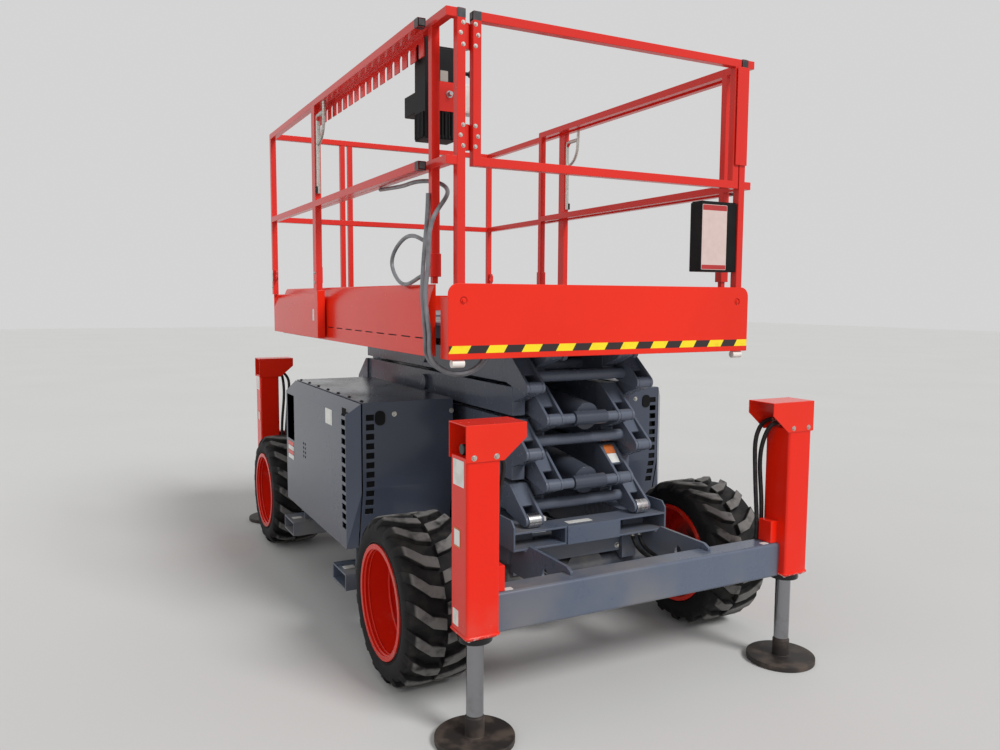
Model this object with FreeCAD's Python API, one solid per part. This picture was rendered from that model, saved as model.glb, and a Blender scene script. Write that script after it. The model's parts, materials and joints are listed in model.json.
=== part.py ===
import FreeCAD, Part
import math
import os

# Rough-terrain scissor lift with four outriggers, in millimetres. +Z is up and +Y points
# to the extension end. The origin is on the ground, below the middle of the machine.

V = FreeCAD.Vector

SEAT = 0.3
RUNNING = 0.05

# Wheels and steering
WHEEL_BASE = 2136.0
TYRE_R = 332.0
TYRE_WIDTH = 305.0
TYRE_OUTER_X = 876.0
TYRE_BASE_R = TYRE_R - 26.0
LUG_COUNT = 18
LUG_HALF = 21.0
RIM_R = 0.681 * TYRE_R
RIM_FLANGE = 8.0
RIM_WALL = 8.0
RIM_DISH = 150.0
HUB_R = 62.0
HUB_X = TYRE_OUTER_X - RIM_DISH - 61.0
AXLE_R = 62.0
DRUM_R = 100.0
DRUM_HALF = 45.0
KINGPIN_X = TYRE_OUTER_X - TYRE_WIDTH + 59.0
KINGPIN_R = 20.0
STEER_ARM = 110.0
TIE_ROD_R = 14.0

# Chassis heights follow the wheels, the scissor pins follow the chassis
RAIL_DEPTH = 162.7
RAIL_Z = (TYRE_R + 98.0, TYRE_R + 98.0 + RAIL_DEPTH)
ROLLER_R = 30.0
BASE_PIN_Z = RAIL_Z[1] + ROLLER_R + SEAT

# Scissor stack
STAGES = 5
PITCH = 135.5
ARM_PIN_LENGTH = WHEEL_BASE - 36.0
REAR_PIN_Y = -WHEEL_BASE / 2 - 149.0
FRONT_PIN_Y = REAR_PIN_Y + ARM_PIN_LENGTH
ARM_DEPTH = PITCH - 15.5
ARM_W = 60.0
INNER_X = 146.0
OUTER_X = INNER_X + ARM_W + 33.0
FORK_PLATE = 12.0
TUBE_SETBACK = 122.0
PIN_R = 16.0
BOSS_R = 24.7
EYE_GAP = 1.0
EYE_DEPTH = 62.0
CROSS_R = 24.0
CROSS_AT = (87.0, 36.0)
CENTRE_BOSS = OUTER_X - FORK_PLATE - INNER_X - ARM_W
CENTRE_BOSS_R = 38.0
ROLLER_W = 20.0
SCISSOR_MID_Y = (REAR_PIN_Y + FRONT_PIN_Y) / 2
TOP_PIN_Z = BASE_PIN_Z + STAGES * PITCH

# Chassis
RAIL_X = (OUTER_X - 10.0, OUTER_X + ARM_W + 46.0)
MEMBER_Y = (REAR_PIN_Y - 45.0, REAR_PIN_Y + 67.0)
MEMBER_Z = (RAIL_Z[1] - 76.7, RAIL_Z[1])
MEMBER_HALF = RAIL_X[1] + 35.0
MEMBER_MID = 130.0
MEMBER_WALL = 8.0
RAIL_Y = (MEMBER_Y[1], FRONT_PIN_Y + 127.0)
TRAY_Z = (RAIL_Z[0] - 26.3, RAIL_Z[0] - 18.3)
POCKET_Y = 480.0
POCKET_W = 200.0
POCKET_H = 76.0
POCKET_BOTTOM = RAIL_Z[0] - 215.0
POCKET_WALL = 8.0
POCKET_X = TYRE_OUTER_X - 16.0
SIDE_PLATE_X = (RAIL_X[1] - 27.0, RAIL_X[1] - 13.0)
TIE_DOWN_R = 22.0

# Outriggers
LEG_OUT_X = 785.0
LEG_OUT_Y = WHEEL_BASE / 2 + 615.5
LEG_W = 124.0
LEG_D = 128.0
LEG_CORNER_R = 10.0
BEAM_Z = (RAIL_Z[0] - 52.0, RAIL_Z[0] + 90.0)
BEAM_DEPTH = 100.0
BEAM_FACE_Y = LEG_OUT_Y - 33.5
BEAM_BACK = BEAM_FACE_Y - BEAM_DEPTH
LEG_BOTTOM = BEAM_Z[0] + 6.0
LEG_TOP = LEG_BOTTOM + 616.0
LEG_X = LEG_OUT_X - LEG_W / 2
LEG_Y = LEG_OUT_Y - LEG_D / 2
HEAD_R = 36.0
HEAD_H = 40.0
PORT_R = 20.0
CAP_TOP = LEG_TOP + 111.0
CAP_EDGE = LEG_TOP - 13.0
CAP_REACH = 97.0
CAP_WALL = 5.0
RAM_R = 30.5
RAM_TOP = LEG_TOP - 300.0
PAD_R = 140.0
PAD_T = 22.0
NECK_R = 34.0
NECK_TOP = 90.0
GLAND_R = 60.0
GLAND_T = 24.0
LEG_HOSE_R = 9.0

# Side covers
COVER_OUT_X = POCKET_X
COVER_IN_X = RAIL_X[1] + 27.0
COVER_Y = (-WHEEL_BASE / 2 + TYRE_R + 75.0, WHEEL_BASE / 2 - TYRE_R - 243.0)
COVER_Z = (TRAY_Z[1] + SEAT, TRAY_Z[1] + 656.3)
COVER_CHAMFER = 58.0
COVER_SLOPE = (60.0, COVER_Z[0] + 278.0)
COVER_WALL = 5.0
DOOR_X = COVER_OUT_X - 60.0
DOOR_GAP = 6.0
LOUVRE_PITCH = 42.0
LOUVRE = (56.0, 26.0)
REAR_SLOTS = 11
HINGE_R = 7.5
HINGE_X = DOOR_X + 3.0
HINGE_Y = COVER_Y[1] + 9.0
HINGE_Z = (COVER_Z[0] + 148.0, COVER_Z[0] + 488.0)
HINGE_LENGTH = 70.0
ENGINE_X = (COVER_IN_X + 58.0, DOOR_X - 60.0)
ENGINE_Y = (COVER_Y[0] + 101.0, COVER_Y[0] + 781.0)
ENGINE_H = 490.0

# Lift cylinders
CYL_R = 58.0
CYL_ROD_R = 34.0
CYL_ROD_SHOW = 150.0
CYL_ROD_START = 60.0
CYL_EYE_X = 78.0
CYL_ROD_EYE_X = 26.0
CYL_SEAT_U = 650.0
CYL_SEAT_DROP = 20.0
CYL_LUG_RISE = 46.0

# Platform
DECK_Y = (REAR_PIN_Y - 156.0, FRONT_PIN_Y + 297.0)
DECK_TOP = TOP_PIN_Z + 129.5
FLOOR_T = 12.0
PANEL_BOTTOM = DECK_TOP - 130.0
PANEL_TOP = DECK_TOP + 145.0
PANEL_HALF = 713.0
PANEL_T = 6.0
SIDE_IN_X = PANEL_HALF - 33.0
SIDE_Y = (REAR_PIN_Y + 30.0, DECK_Y[1])
DECK_RAIL_Z = TOP_PIN_Z + ROLLER_R + SEAT

# Guardrails
TUBE = 32.0
RAIL_TOP = DECK_TOP + 1100.0
MID_RAIL = RAIL_TOP - 505.0
MAIN_RAIL_X = PANEL_HALF - 13.0
MAIN_RAIL_END = FRONT_PIN_Y - 481.0
CORNER_Y = (DECK_Y[0] + PANEL_T + 1.0, DECK_Y[0] + TUBE + 10.0)
CORNER_LEFT_X = PANEL_HALF - 54.5
CORNER_RIGHT_X = PANEL_HALF - 50.0
GATE_X = (-CORNER_LEFT_X + TUBE / 2 + 30.0, CORNER_RIGHT_X - TUBE / 2 - 5.7)
GATE_Y = (DECK_Y[0] + 7.0, DECK_Y[0] + 7.0 + TUBE)
GATE_HINGE_R = 14.7
GATE_HINGE_X = GATE_X[0] - GATE_HINGE_R - SEAT
GATE_HINGE_Y = GATE_Y[1] + 3.0
GATE_HINGE_Z = (RAIL_TOP - 480.0, RAIL_TOP - 130.0)
GATE_HINGE_LENGTH = 90.0
INDEX_Y = (REAR_PIN_Y + 97.0, MAIN_RAIL_END - 72.0)
INDEX_H = 78.0
INDEX_SLOT = (34.0, 58.0)
INDEX_PITCH = 88.0
STOP_PLATE = (46.7, 3.0, 405.0)
HANDLE_R = 9.0
CONDUIT_R = 8.0

# Extension deck
EXT_Y = (FRONT_PIN_Y - 700.0, DECK_Y[1] + 43.0)
EXT_IN_X = PANEL_HALF + 9.0
EXT_OUT_X = PANEL_HALF + 49.0
EXT_RAIL_X = PANEL_HALF + 36.0
EXT_Z = (PANEL_BOTTOM + 10.0, PANEL_TOP - 35.0)
EXT_FLOOR_Y = FRONT_PIN_Y - 1145.0
EXT_FLOOR_T = 9.0
EXT_RAIL_TOP = RAIL_TOP - 6.0
EXT_MID_RAIL = MID_RAIL - 6.0
EXT_COLUMN = 50.0
ANCHOR_R = 16.0

SIDES = (-1, 1)
ENDS = (-1, 1)


def box(x, y, z):
    return Part.makeBox(x[1] - x[0], y[1] - y[0], z[1] - z[0], V(x[0], y[0], z[0]))


def rod(start, along, length, radius):
    return Part.makeCylinder(radius, length, V(*start), V(*along))


def prism(points, along):
    """A straight prism on a closed polygon of (x, y, z) points, extruded by a vector."""
    corners = [V(*point) for point in points]
    return Part.Face(Part.makePolygon(corners + corners[:1])).extrude(V(*along))


def prism_x(points, x):
    return prism([(x[0], y, z) for y, z in points], (x[1] - x[0], 0, 0))


def prism_y(points, y):
    return prism([(x, y[0], z) for x, z in points], (0, y[1] - y[0], 0))


def prism_z(points, z):
    return prism([(x, y, z[0]) for x, y in points], (0, 0, z[1] - z[0]))


def fuse(shapes):
    shapes = list(shapes)
    joined = shapes[0].fuse(shapes[1:]) if len(shapes) > 1 else shapes[0]
    return joined.removeSplitter()


def mirrored(shape):
    return shape.mirror(V(0, 0, 0), V(1, 0, 0))


def both_sides(shape):
    return [shape, mirrored(shape)]


def span(side, inner, outer):
    """The range from inner to outer on one side of the machine's middle."""
    return (min(side * inner, side * outer), max(side * inner, side * outer))


def hose(points, radius):
    """A round hose along a smooth curve through (x, y, z) points."""
    curve = Part.BSplineCurve()
    curve.interpolate([V(*point) for point in points])
    start = curve.FirstParameter
    ring = Part.Wire([Part.makeCircle(radius, curve.value(start), curve.tangent(start)[0])])
    return Part.Wire([curve.toShape()]).makePipeShell([ring], True, False)


def save(node, shapes):
    shapes = shapes if isinstance(shapes, list) else [shapes]
    solids = [solid for shape in shapes for solid in shape.Solids]
    result = solids[0] if len(solids) == 1 else Part.makeCompound(solids)
    result.exportStep("parts/%s.step" % node)
    print(node, len(solids), "%.0f cm3" % (result.Volume / 1000), result.isValid())


def cross_members():
    """Members between the chassis rails, ears for the lowest fixed pins, and axle saddles."""
    half = RAIL_X[0] - SEAT
    low, high = RAIL_Z[0] + 10, RAIL_Z[0] + 77
    rear = fuse([box((-half, half), (MEMBER_Y[1] + 19, MEMBER_Y[1] + 31), (RAIL_Z[0] - 22, high)),
                 box((-half, half), (MEMBER_Y[1] + 19, MEMBER_Y[1] + 117), (low, high))])
    middle = [box((-half, half), (y - 50, y + 50), (low, low + 100)) for y in (-POCKET_Y, POCKET_Y)]
    y, z = FRONT_PIN_Y, BASE_PIN_Z
    ear = [(y - 60, low + 30), (y + 60, low + 30), (y + 32, z + 30), (y - 32, z + 30)]
    inner = INNER_X - FORK_PLATE - 16
    outer = INNER_X + ARM_W + FORK_PLATE + 2
    front = [box((-half, half), (y - 60, y + 97), (low, low + 100))]
    for side in SIDES:
        front += [prism_x(ear, span(side, inner, inner + 12)), prism_x(ear, span(side, outer, outer + 6))]
        front.append(rod((side * inner, y, z), (side, 0, 0), outer + 6 - inner, PIN_R))
    return [rear] + middle + [fuse(front)] + axle_saddles()


def axle_saddles():
    saddles = []
    for end in ENDS:
        y = end * WHEEL_BASE / 2
        for side in SIDES:
            z = (TYRE_R + AXLE_R - 22, RAIL_Z[0] - SEAT)
            block = box(span(side, RAIL_X[0] + 10, SIDE_PLATE_X[0] - 5), (y - 70, y + 70), z)
            saddles.append(block.cut(rod((side * RAIL_X[0], y, TYRE_R), (side, 0, 0), 200, AXLE_R + SEAT)))
    return saddles


def side_tray(side):
    """The shelf under a side cover, hung below its rail by spacers."""
    y = (COVER_Y[0] + 21, COVER_Y[1] - 23)
    pieces = [box(span(side, RAIL_X[0], DOOR_X - 5), y, TRAY_Z)]
    for start in (y[0] + 40, (y[0] + y[1]) / 2 - 50, y[1] - 90):
        pieces.append(box(span(side, RAIL_X[0] + 10, RAIL_X[1] - 10), (start, start + 90),
                          (TRAY_Z[1] - 1, RAIL_Z[0] - SEAT)))
    return fuse(pieces)


def fork_pocket(y):
    """A forklift tube from side to side, open at both ends, with hangers up to the trays."""
    z = (POCKET_BOTTOM, POCKET_BOTTOM + POCKET_H)
    wall = POCKET_WALL
    outer = box((-POCKET_X, POCKET_X), (y - POCKET_W / 2, y + POCKET_W / 2), z)
    inner = box((-POCKET_X - 1, POCKET_X + 1), (y - POCKET_W / 2 + wall, y + POCKET_W / 2 - wall),
                (z[0] + wall, z[1] - wall))
    hanger_y = y if y < 0 else y - 32
    hangers = [box(span(side, RAIL_X[0] + 11, POCKET_X - 80), (hanger_y - 6, hanger_y + 6),
                   (z[1] - 1, TRAY_Z[0] - SEAT)) for side in SIDES]
    return fuse([outer.cut(inner)] + hangers)


def rear_member():
    """The rear cross member: a middle box and two open fork pockets between upright plates."""
    y, z, wall = MEMBER_Y, MEMBER_Z, MEMBER_WALL
    pieces = [box((-MEMBER_MID, MEMBER_MID), (y[0] - 8, y[1] - SEAT), z)]
    corner = 24.0
    upright = [(y[0], z[0]), (y[0] + 350, z[0]), (y[0] + 350, z[1] + 47), (y[0] + corner, z[1] + 47), (y[0], z[1] + 47 - corner)]
    for side in SIDES:
        outer = box(span(side, MEMBER_MID, MEMBER_HALF), (y[0], y[1] - SEAT), z)
        inner = box(span(side, MEMBER_MID + wall, MEMBER_HALF - wall), (y[0] - 1, y[1] + 1),
                    (z[0] + wall, z[1] - wall))
        pieces.append(outer.cut(inner))
        pieces.append(prism_x(upright, span(side, MEMBER_HALF - wall, MEMBER_HALF)))
    return fuse(pieces)


def side_plate(side, end):
    """An upright plate from a rail's end to the outrigger beam and over it, with a tie-down hole."""
    top = MEMBER_Z[0] - SEAT
    outline = [(RAIL_Y[1] + SEAT, RAIL_Z[0] - 30), (RAIL_Y[1] + SEAT, top)] if end > 0 else \
              [(-MEMBER_Y[1] + SEAT, RAIL_Z[0] - 30), (-MEMBER_Y[1] + SEAT, top)]
    step = -MEMBER_Y[0] + 13
    outline += [(step, top), (step + 25, BEAM_Z[1] + 25), (BEAM_FACE_Y - 75, BEAM_Z[1] + 25),
                (BEAM_FACE_Y - 45, BEAM_Z[1] + 12), (BEAM_FACE_Y - 45, BEAM_Z[1] + SEAT),
                (BEAM_BACK - SEAT, BEAM_Z[1] + SEAT), (BEAM_BACK - SEAT, RAIL_Z[0] - 30)]
    outline = [(end * y, z) for y, z in outline]
    plate = prism_x(outline, span(side, *SIDE_PLATE_X))
    hole = rod((side * (SIDE_PLATE_X[0] - 1), end * (BEAM_BACK - 130), RAIL_Z[0] + 40), (side, 0, 0), 20, TIE_DOWN_R)
    return plate.cut(hole)


def axles():
    """Beam axles: a round housing with a differential in the middle, forks at the front one's ends."""
    result = []
    for end in ENDS:
        y = end * WHEEL_BASE / 2
        reach = KINGPIN_X - 52 if end > 0 else HUB_X - SEAT
        beam = rod((-reach, y, TYRE_R), (1, 0, 0), 2 * reach, AXLE_R)
        drum = rod((60, y - DRUM_HALF, TYRE_R), (0, 1, 0), 2 * DRUM_HALF, DRUM_R)
        shaft = rod((60, y, TYRE_R), (0, -end, 0), 190, 38)
        pieces = [beam, drum, shaft]
        if end > 0:
            pieces += [fork for side in SIDES for fork in axle_fork(side, y, reach)]
        result.append(fuse(pieces))
    return result


def axle_fork(side, y, reach):
    """The upper and lower ears that hold the kingpin at one end of the steering axle."""
    pieces = []
    for z in (TYRE_R - 92, TYRE_R + 72):
        arm = box(span(side, reach - 4, KINGPIN_X), (y - 30, y + 30), (z, z + 20))
        pieces += [arm, rod((side * KINGPIN_X, y, z), (0, 0, 1), 20, 30)]
    plate = box(span(side, reach - 12, reach + 4), (y - 45, y + 45), (TYRE_R - 92, TYRE_R + 92))
    pin = rod((side * KINGPIN_X, y, TYRE_R - 92), (0, 0, 1), 184, KINGPIN_R)
    return pieces + [plate, pin]


STEER_ARM_Z = (TYRE_R - 62.0, TYRE_R - 46.0)
STEER_STUD_R = 9.0


def knuckle(side):
    """A steering knuckle: a sleeve on the kingpin, a spindle out to the hub and a front steering arm."""
    y = WHEEL_BASE / 2
    z = (TYRE_R - 70, TYRE_R + 70)
    sleeve = rod((side * KINGPIN_X, y, z[0]), (0, 0, 1), z[1] - z[0], KINGPIN_R + 14)
    spindle = rod((side * KINGPIN_X, y, TYRE_R), (side, 0, 0), HUB_X - SEAT - KINGPIN_X, 50)
    arm = box(span(side, KINGPIN_X - 12, KINGPIN_X + 12), (y, y + STEER_ARM), STEER_ARM_Z)
    boss = rod((side * KINGPIN_X, y + STEER_ARM, STEER_ARM_Z[0]), (0, 0, 1), 16, 20)
    stud = rod((side * KINGPIN_X, y + STEER_ARM, STEER_ARM_Z[1] - 4), (0, 0, 1), 32, STEER_STUD_R)
    bore = rod((side * KINGPIN_X, y, z[0] - 1), (0, 0, 1), z[1] - z[0] + 2, KINGPIN_R + RUNNING)
    return fuse([sleeve, spindle, arm, boss, stud]).cut(bore)


def tie_rod():
    y = WHEEL_BASE / 2 + STEER_ARM
    z = STEER_ARM_Z[1] + SEAT
    pieces = [rod((-KINGPIN_X, y, z + TIE_ROD_R + SEAT), (1, 0, 0), 2 * KINGPIN_X, TIE_ROD_R)]
    pieces += [rod((side * KINGPIN_X, y, z), (0, 0, 1), 24, 22) for side in SIDES]
    body = fuse(pieces)
    for side in SIDES:
        body = body.cut(rod((side * KINGPIN_X, y, z - 1), (0, 0, 1), 40, STEER_STUD_R + RUNNING))
    return body


def facet_ring(profile):
    """A closed ring about the X axis with one flat facet per lug pitch, from an (x, radius) outline."""
    faces = []
    for index in range(LUG_COUNT):
        turns = [2 * math.pi * (index + step) / LUG_COUNT for step in (0, 1)]
        for (x1, r1), (x2, r2) in zip(profile, profile[1:] + profile[:1]):
            corners = [V(x, r * math.sin(turn), r * math.cos(turn)) for x, r, turn in
                       ((x1, r1, turns[0]), (x2, r2, turns[0]), (x2, r2, turns[1]), (x1, r1, turns[1]))]
            faces.append(Part.Face(Part.makePolygon(corners + corners[:1])))
    shell = Part.Shell(faces)
    shell.sewShape()
    ring = Part.Solid(shell)
    if ring.Volume < 0:
        ring.reverse()
    return ring


def tyre():
    """A tyre about the X axis: a flat-faced carcass with two staggered rows of slanting lugs."""
    half = TYRE_WIDTH / 2
    bead_x = half - RIM_FLANGE - SEAT
    bead_r = (RIM_R - 12 + SEAT) / math.cos(math.pi / LUG_COUNT)
    right = [(bead_x, bead_r), (bead_x, bead_r + 14), (half, bead_r + 46), (half - 14, TYRE_BASE_R)]
    carcass = facet_ring(right + [(-x, r) for x, r in reversed(right)])
    right = [(half - 3, TYRE_R - 36), (half - 36, TYRE_R)]
    inside = [(-half + 20, TYRE_BASE_R - 20), (half - 20, TYRE_BASE_R - 20)]
    crown = facet_ring(right + [(-x, r) for x, r in reversed(right)] + inside)
    line = [(4.0, 0.0), (58.0, 16.0), (half + 6, 100.0)]
    outline = [(x, t - LUG_HALF) for x, t in line] + [(x, t + LUG_HALF) for x, t in reversed(line)]
    lugs = []
    step = 360.0 / LUG_COUNT
    for side, stagger in ((1, 0.0), (-1, step / 2)):
        lug = prism([(side * x, t, TYRE_BASE_R - 30) for x, t in outline], (0, 0, 70))
        lug.rotate(V(0, 0, 0), V(1, 0, 0), stagger)
        lug = lug.common(crown)
        for index in range(LUG_COUNT):
            copy = lug.copy()
            copy.rotate(V(0, 0, 0), V(1, 0, 0), index * step)
            lugs.append(copy)
    return fuse([carcass] + lugs)


def wheel_place(shape, side, y):
    """Moves a shape built about the X axis to a wheel's centre."""
    placed = shape.copy()
    placed.translate(V(side * (TYRE_OUTER_X - TYRE_WIDTH / 2), y, TYRE_R))
    return placed


def rim(side, y):
    """A deep-dished pressed rim: flanged barrel, conical disc and hub."""
    outer, width, wall = TYRE_OUTER_X, TYRE_WIDTH, RIM_WALL
    bed, inner = RIM_R - 12, RIM_R - 20
    disc = RIM_DISH + 31
    profile = [(0, inner), (0, RIM_R), (RIM_FLANGE, RIM_R), (RIM_FLANGE, bed), (width - RIM_FLANGE, bed),
               (width - RIM_FLANGE, RIM_R), (width, RIM_R), (width, inner), (RIM_DISH + 9, inner),
               (disc + wall, inner - 56), (disc + wall, HUB_R - 10), (disc, HUB_R - 10),
               (disc, inner - 54), (RIM_DISH + 1, inner)]
    corners = [V(outer - depth, y, TYRE_R + radius) for depth, radius in profile]
    dish = Part.Face(Part.makePolygon(corners + corners[:1])).revolve(V(0, y, TYRE_R), V(1, 0, 0), 360)
    hub = rod((HUB_X, y, TYRE_R), (1, 0, 0), 55, HUB_R)
    shape = fuse([dish, hub])
    return shape if side > 0 else mirrored(shape)


def outrigger_leg(side, end):
    """A square leg tube bored for its ram, with a gland ring below and the ram's head on top."""
    x = span(side, LEG_OUT_X - LEG_W, LEG_OUT_X)
    y = span(end, LEG_OUT_Y - LEG_D, LEG_OUT_Y)
    centre = (side * LEG_X, end * LEG_Y)
    tube = box(x, y, (LEG_BOTTOM, LEG_TOP))
    tube = tube.makeFillet(LEG_CORNER_R, [edge for edge in tube.Edges if edge.Length > LEG_D + 1])
    gland = rod((*centre, LEG_BOTTOM - GLAND_T), (0, 0, 1), GLAND_T + 1, GLAND_R)
    head = rod((*centre, LEG_TOP - 1), (0, 0, 1), HEAD_H + 1, HEAD_R)
    port = rod((*centre, LEG_TOP + PORT_R + 2), (side, 0, 0), HEAD_R + 16, PORT_R)
    bracket = box(span(side, LEG_OUT_X - LEG_W - 42, LEG_OUT_X - LEG_W + 1),
                  span(end, BEAM_FACE_Y - 78, BEAM_FACE_Y - 8), (BEAM_Z[1] + SEAT, BEAM_Z[1] + 92))
    bore = rod((*centre, 0), (0, 0, 1), LEG_TOP - 30, RAM_R + RUNNING)
    return fuse([tube, gland, bracket, head, port]).cut(bore)


def leg_cap(side, end):
    """A folded hood over the leg top that reaches inward, open inward and over a slot outside."""
    y0, y1 = LEG_OUT_Y - LEG_D - CAP_WALL - SEAT, LEG_OUT_Y + CAP_WALL
    inner = LEG_OUT_X - LEG_W
    outline = [(LEG_OUT_X + CAP_WALL, CAP_EDGE), (LEG_OUT_X + CAP_WALL, CAP_TOP), (inner - CAP_REACH, CAP_TOP),
               (inner - CAP_REACH, CAP_TOP - 52), (inner - 12, CAP_EDGE)]
    outline = [(side * px, pz) for px, pz in outline]
    sheets = [prism_y(outline, span(end, y0, y0 + CAP_WALL)),
              prism_y(outline, span(end, y1 - CAP_WALL + SEAT, y1))]
    top = box(span(side, inner - CAP_REACH, LEG_OUT_X + CAP_WALL), span(end, y0, y1), (CAP_TOP - CAP_WALL, CAP_TOP))
    return fuse(sheets + [top])


def leg_hose_pair(side, end):
    """Two hoses from the ram's head, out under the hood and down the leg's inner face to the beam."""
    inner, back = LEG_OUT_X - LEG_W, LEG_OUT_Y - LEG_D
    start_x = LEG_X - HEAD_R - 2 * SEAT
    low = BEAM_Z[1] + SEAT
    z = LEG_TOP + 20
    pair = (((start_x, LEG_Y, z), (start_x - 14, LEG_Y, z), (inner - 14, LEG_Y - 6, z - 4),
             (inner - 34, back + 28, LEG_TOP - 40), (inner - 34, back + 6, LEG_TOP - 130),
             (inner - 20, back + 5, LEG_TOP - 300), (inner - 15, back + 5, low + 30), (inner - 15, back + 5, low)),
            ((start_x + 3, LEG_Y - 22, z + 3), (inner - 20, back + 14, z), (inner - 62, back + 14, LEG_TOP - 25),
             (inner - 64, back + 6, LEG_TOP - 130), (inner - 50, back + 5, LEG_TOP - 300), (inner - 40, back + 5, low)))
    return [hose([(side * px, end * py, pz) for px, py, pz in points], LEG_HOSE_R) for points in pair]


def chassis_hose(side, x):
    """A hose from below the rear member back to the rear outrigger beam."""
    top = MEMBER_Z[0] - SEAT
    points = ((x, MEMBER_Y[0] + 62, top), (x, MEMBER_Y[0] + 62, top - 14), (x, MEMBER_Y[0] + 61, top - 28),
              (x - 1, MEMBER_Y[0] + 44, top - 54),
              (x - 8, MEMBER_Y[0] - 60, top - 86), (x - 14, MEMBER_Y[0] - 170, top - 96),
              (x - 14, -BEAM_BACK + 20, top - 96), (x - 14, -BEAM_BACK + SEAT, top - 96))
    return hose([(side * px, py, pz) for px, py, pz in points], LEG_HOSE_R)


def outrigger_beam(end):
    reach = LEG_OUT_X - LEG_W
    beam = box((-reach, reach), span(end, BEAM_BACK, BEAM_FACE_Y), BEAM_Z)
    return beam.makeFillet(12.0, [edge for edge in beam.Edges if edge.Length > 2 * reach - 1])


def ram(side, end):
    """A chromed rod with a neck, standing on a round foot pad."""
    x, y = side * LEG_X, end * LEG_Y
    pad = rod((x, y, 0), (0, 0, 1), PAD_T, PAD_R)
    neck = rod((x, y, PAD_T - 1), (0, 0, 1), NECK_TOP - PAD_T + 1, NECK_R)
    stem = rod((x, y, NECK_TOP - 1), (0, 0, 1), RAM_TOP - NECK_TOP + 1, RAM_R)
    return fuse([pad, neck, stem])


def cover_outline(inset, low):
    """A side cover's closed outer form down to a level, made smaller by an inset on every face."""
    out_x, in_x, high = COVER_OUT_X - inset, COVER_IN_X + inset, COVER_Z[1] - inset
    y0, y1 = COVER_Y[0] + inset, COVER_Y[1] - inset
    cut = COVER_CHAMFER
    section = [(in_x, low), (out_x, low), (out_x, high - cut), (out_x - cut, high), (in_x, high)]
    plan = [(in_x, y0), (out_x - cut, y0), (out_x, y0 + cut), (out_x, y1), (in_x, y1)]
    profile = [(y0, high), (y0, COVER_SLOPE[1]), (y0 + COVER_SLOPE[0], low), (y1, low), (y1, high)]
    shape = prism_y(section, (y0, y1)).common(prism_z(plan, (low, high)))
    return shape.common(prism_x(profile, (in_x, out_x)))


def cover_skin():
    return cover_outline(0, COVER_Z[0]).cut(cover_outline(COVER_WALL, COVER_Z[0] - 1))


def cover_shell(side):
    """The fixed part of a side cover: top, ends and inner side, with a column of slots at the rear."""
    y = (COVER_Y[0] - 1, COVER_Y[1] + 1)
    shell = cover_skin().common(box((COVER_IN_X - 1, DOOR_X), y, (0, COVER_Z[1] + 1)))
    lugs = [box((DOOR_X - 25, HINGE_X - HINGE_R - SEAT), (COVER_Y[1] - 1, COVER_Y[1] + 14), (z, z + HINGE_LENGTH))
            for z in HINGE_Z]
    shell = fuse([shell] + lugs)
    for index in range(REAR_SLOTS):
        z = COVER_Z[1] - 79 - index * LOUVRE_PITCH
        shell = shell.cut(box((DOOR_X - 52, DOOR_X - 15), (y[0], y[0] + COVER_WALL + 40), (z, z + LOUVRE[1])))
    return shell if side > 0 else mirrored(shell)


def cover_door(side):
    """The outer door: chamfered top and rear edges, a column of louvres, a window and a few holes."""
    door = cover_skin().common(box((DOOR_X + DOOR_GAP, COVER_OUT_X + 1), (COVER_Y[0] - 1, COVER_Y[1] + 1),
                                   (0, COVER_Z[1] + 1)))
    pieces = [door]
    for z in HINGE_Z:
        pieces.append(rod((HINGE_X, HINGE_Y, z), (0, 0, 1), HINGE_LENGTH, HINGE_R))
        pieces.append(box((HINGE_X, HINGE_X + 30), (COVER_Y[1] - 1, HINGE_Y - 2), (z, z + HINGE_LENGTH)))
    door = fuse(pieces)
    through = (COVER_OUT_X - COVER_WALL - 2, COVER_OUT_X + 2)
    cuts = []
    for index in range(13):
        z = COVER_Z[0] + 88 + index * LOUVRE_PITCH
        cuts.append(box(through, (COVER_Y[0] + 64, COVER_Y[0] + 64 + LOUVRE[0]), (z, z + LOUVRE[1])))
    cuts.append(box(through, (COVER_Y[1] - 173, COVER_Y[1] - 21), (COVER_Z[0] + 342, COVER_Z[0] + 585)))
    for row in range(4):
        for column in (0, 36):
            y, z = COVER_Y[1] - 410 + column, COVER_Z[0] + 288 + row * 22
            cuts.append(box(through, (y, y + 18), (z, z + 12)))
    door = door.cut(Part.makeCompound(cuts))
    return door if side > 0 else mirrored(door)


def engine_block(side):
    return box(span(side, *ENGINE_X), ENGINE_Y, (TRAY_Z[1] + SEAT, TRAY_Z[1] + ENGINE_H))


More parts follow.
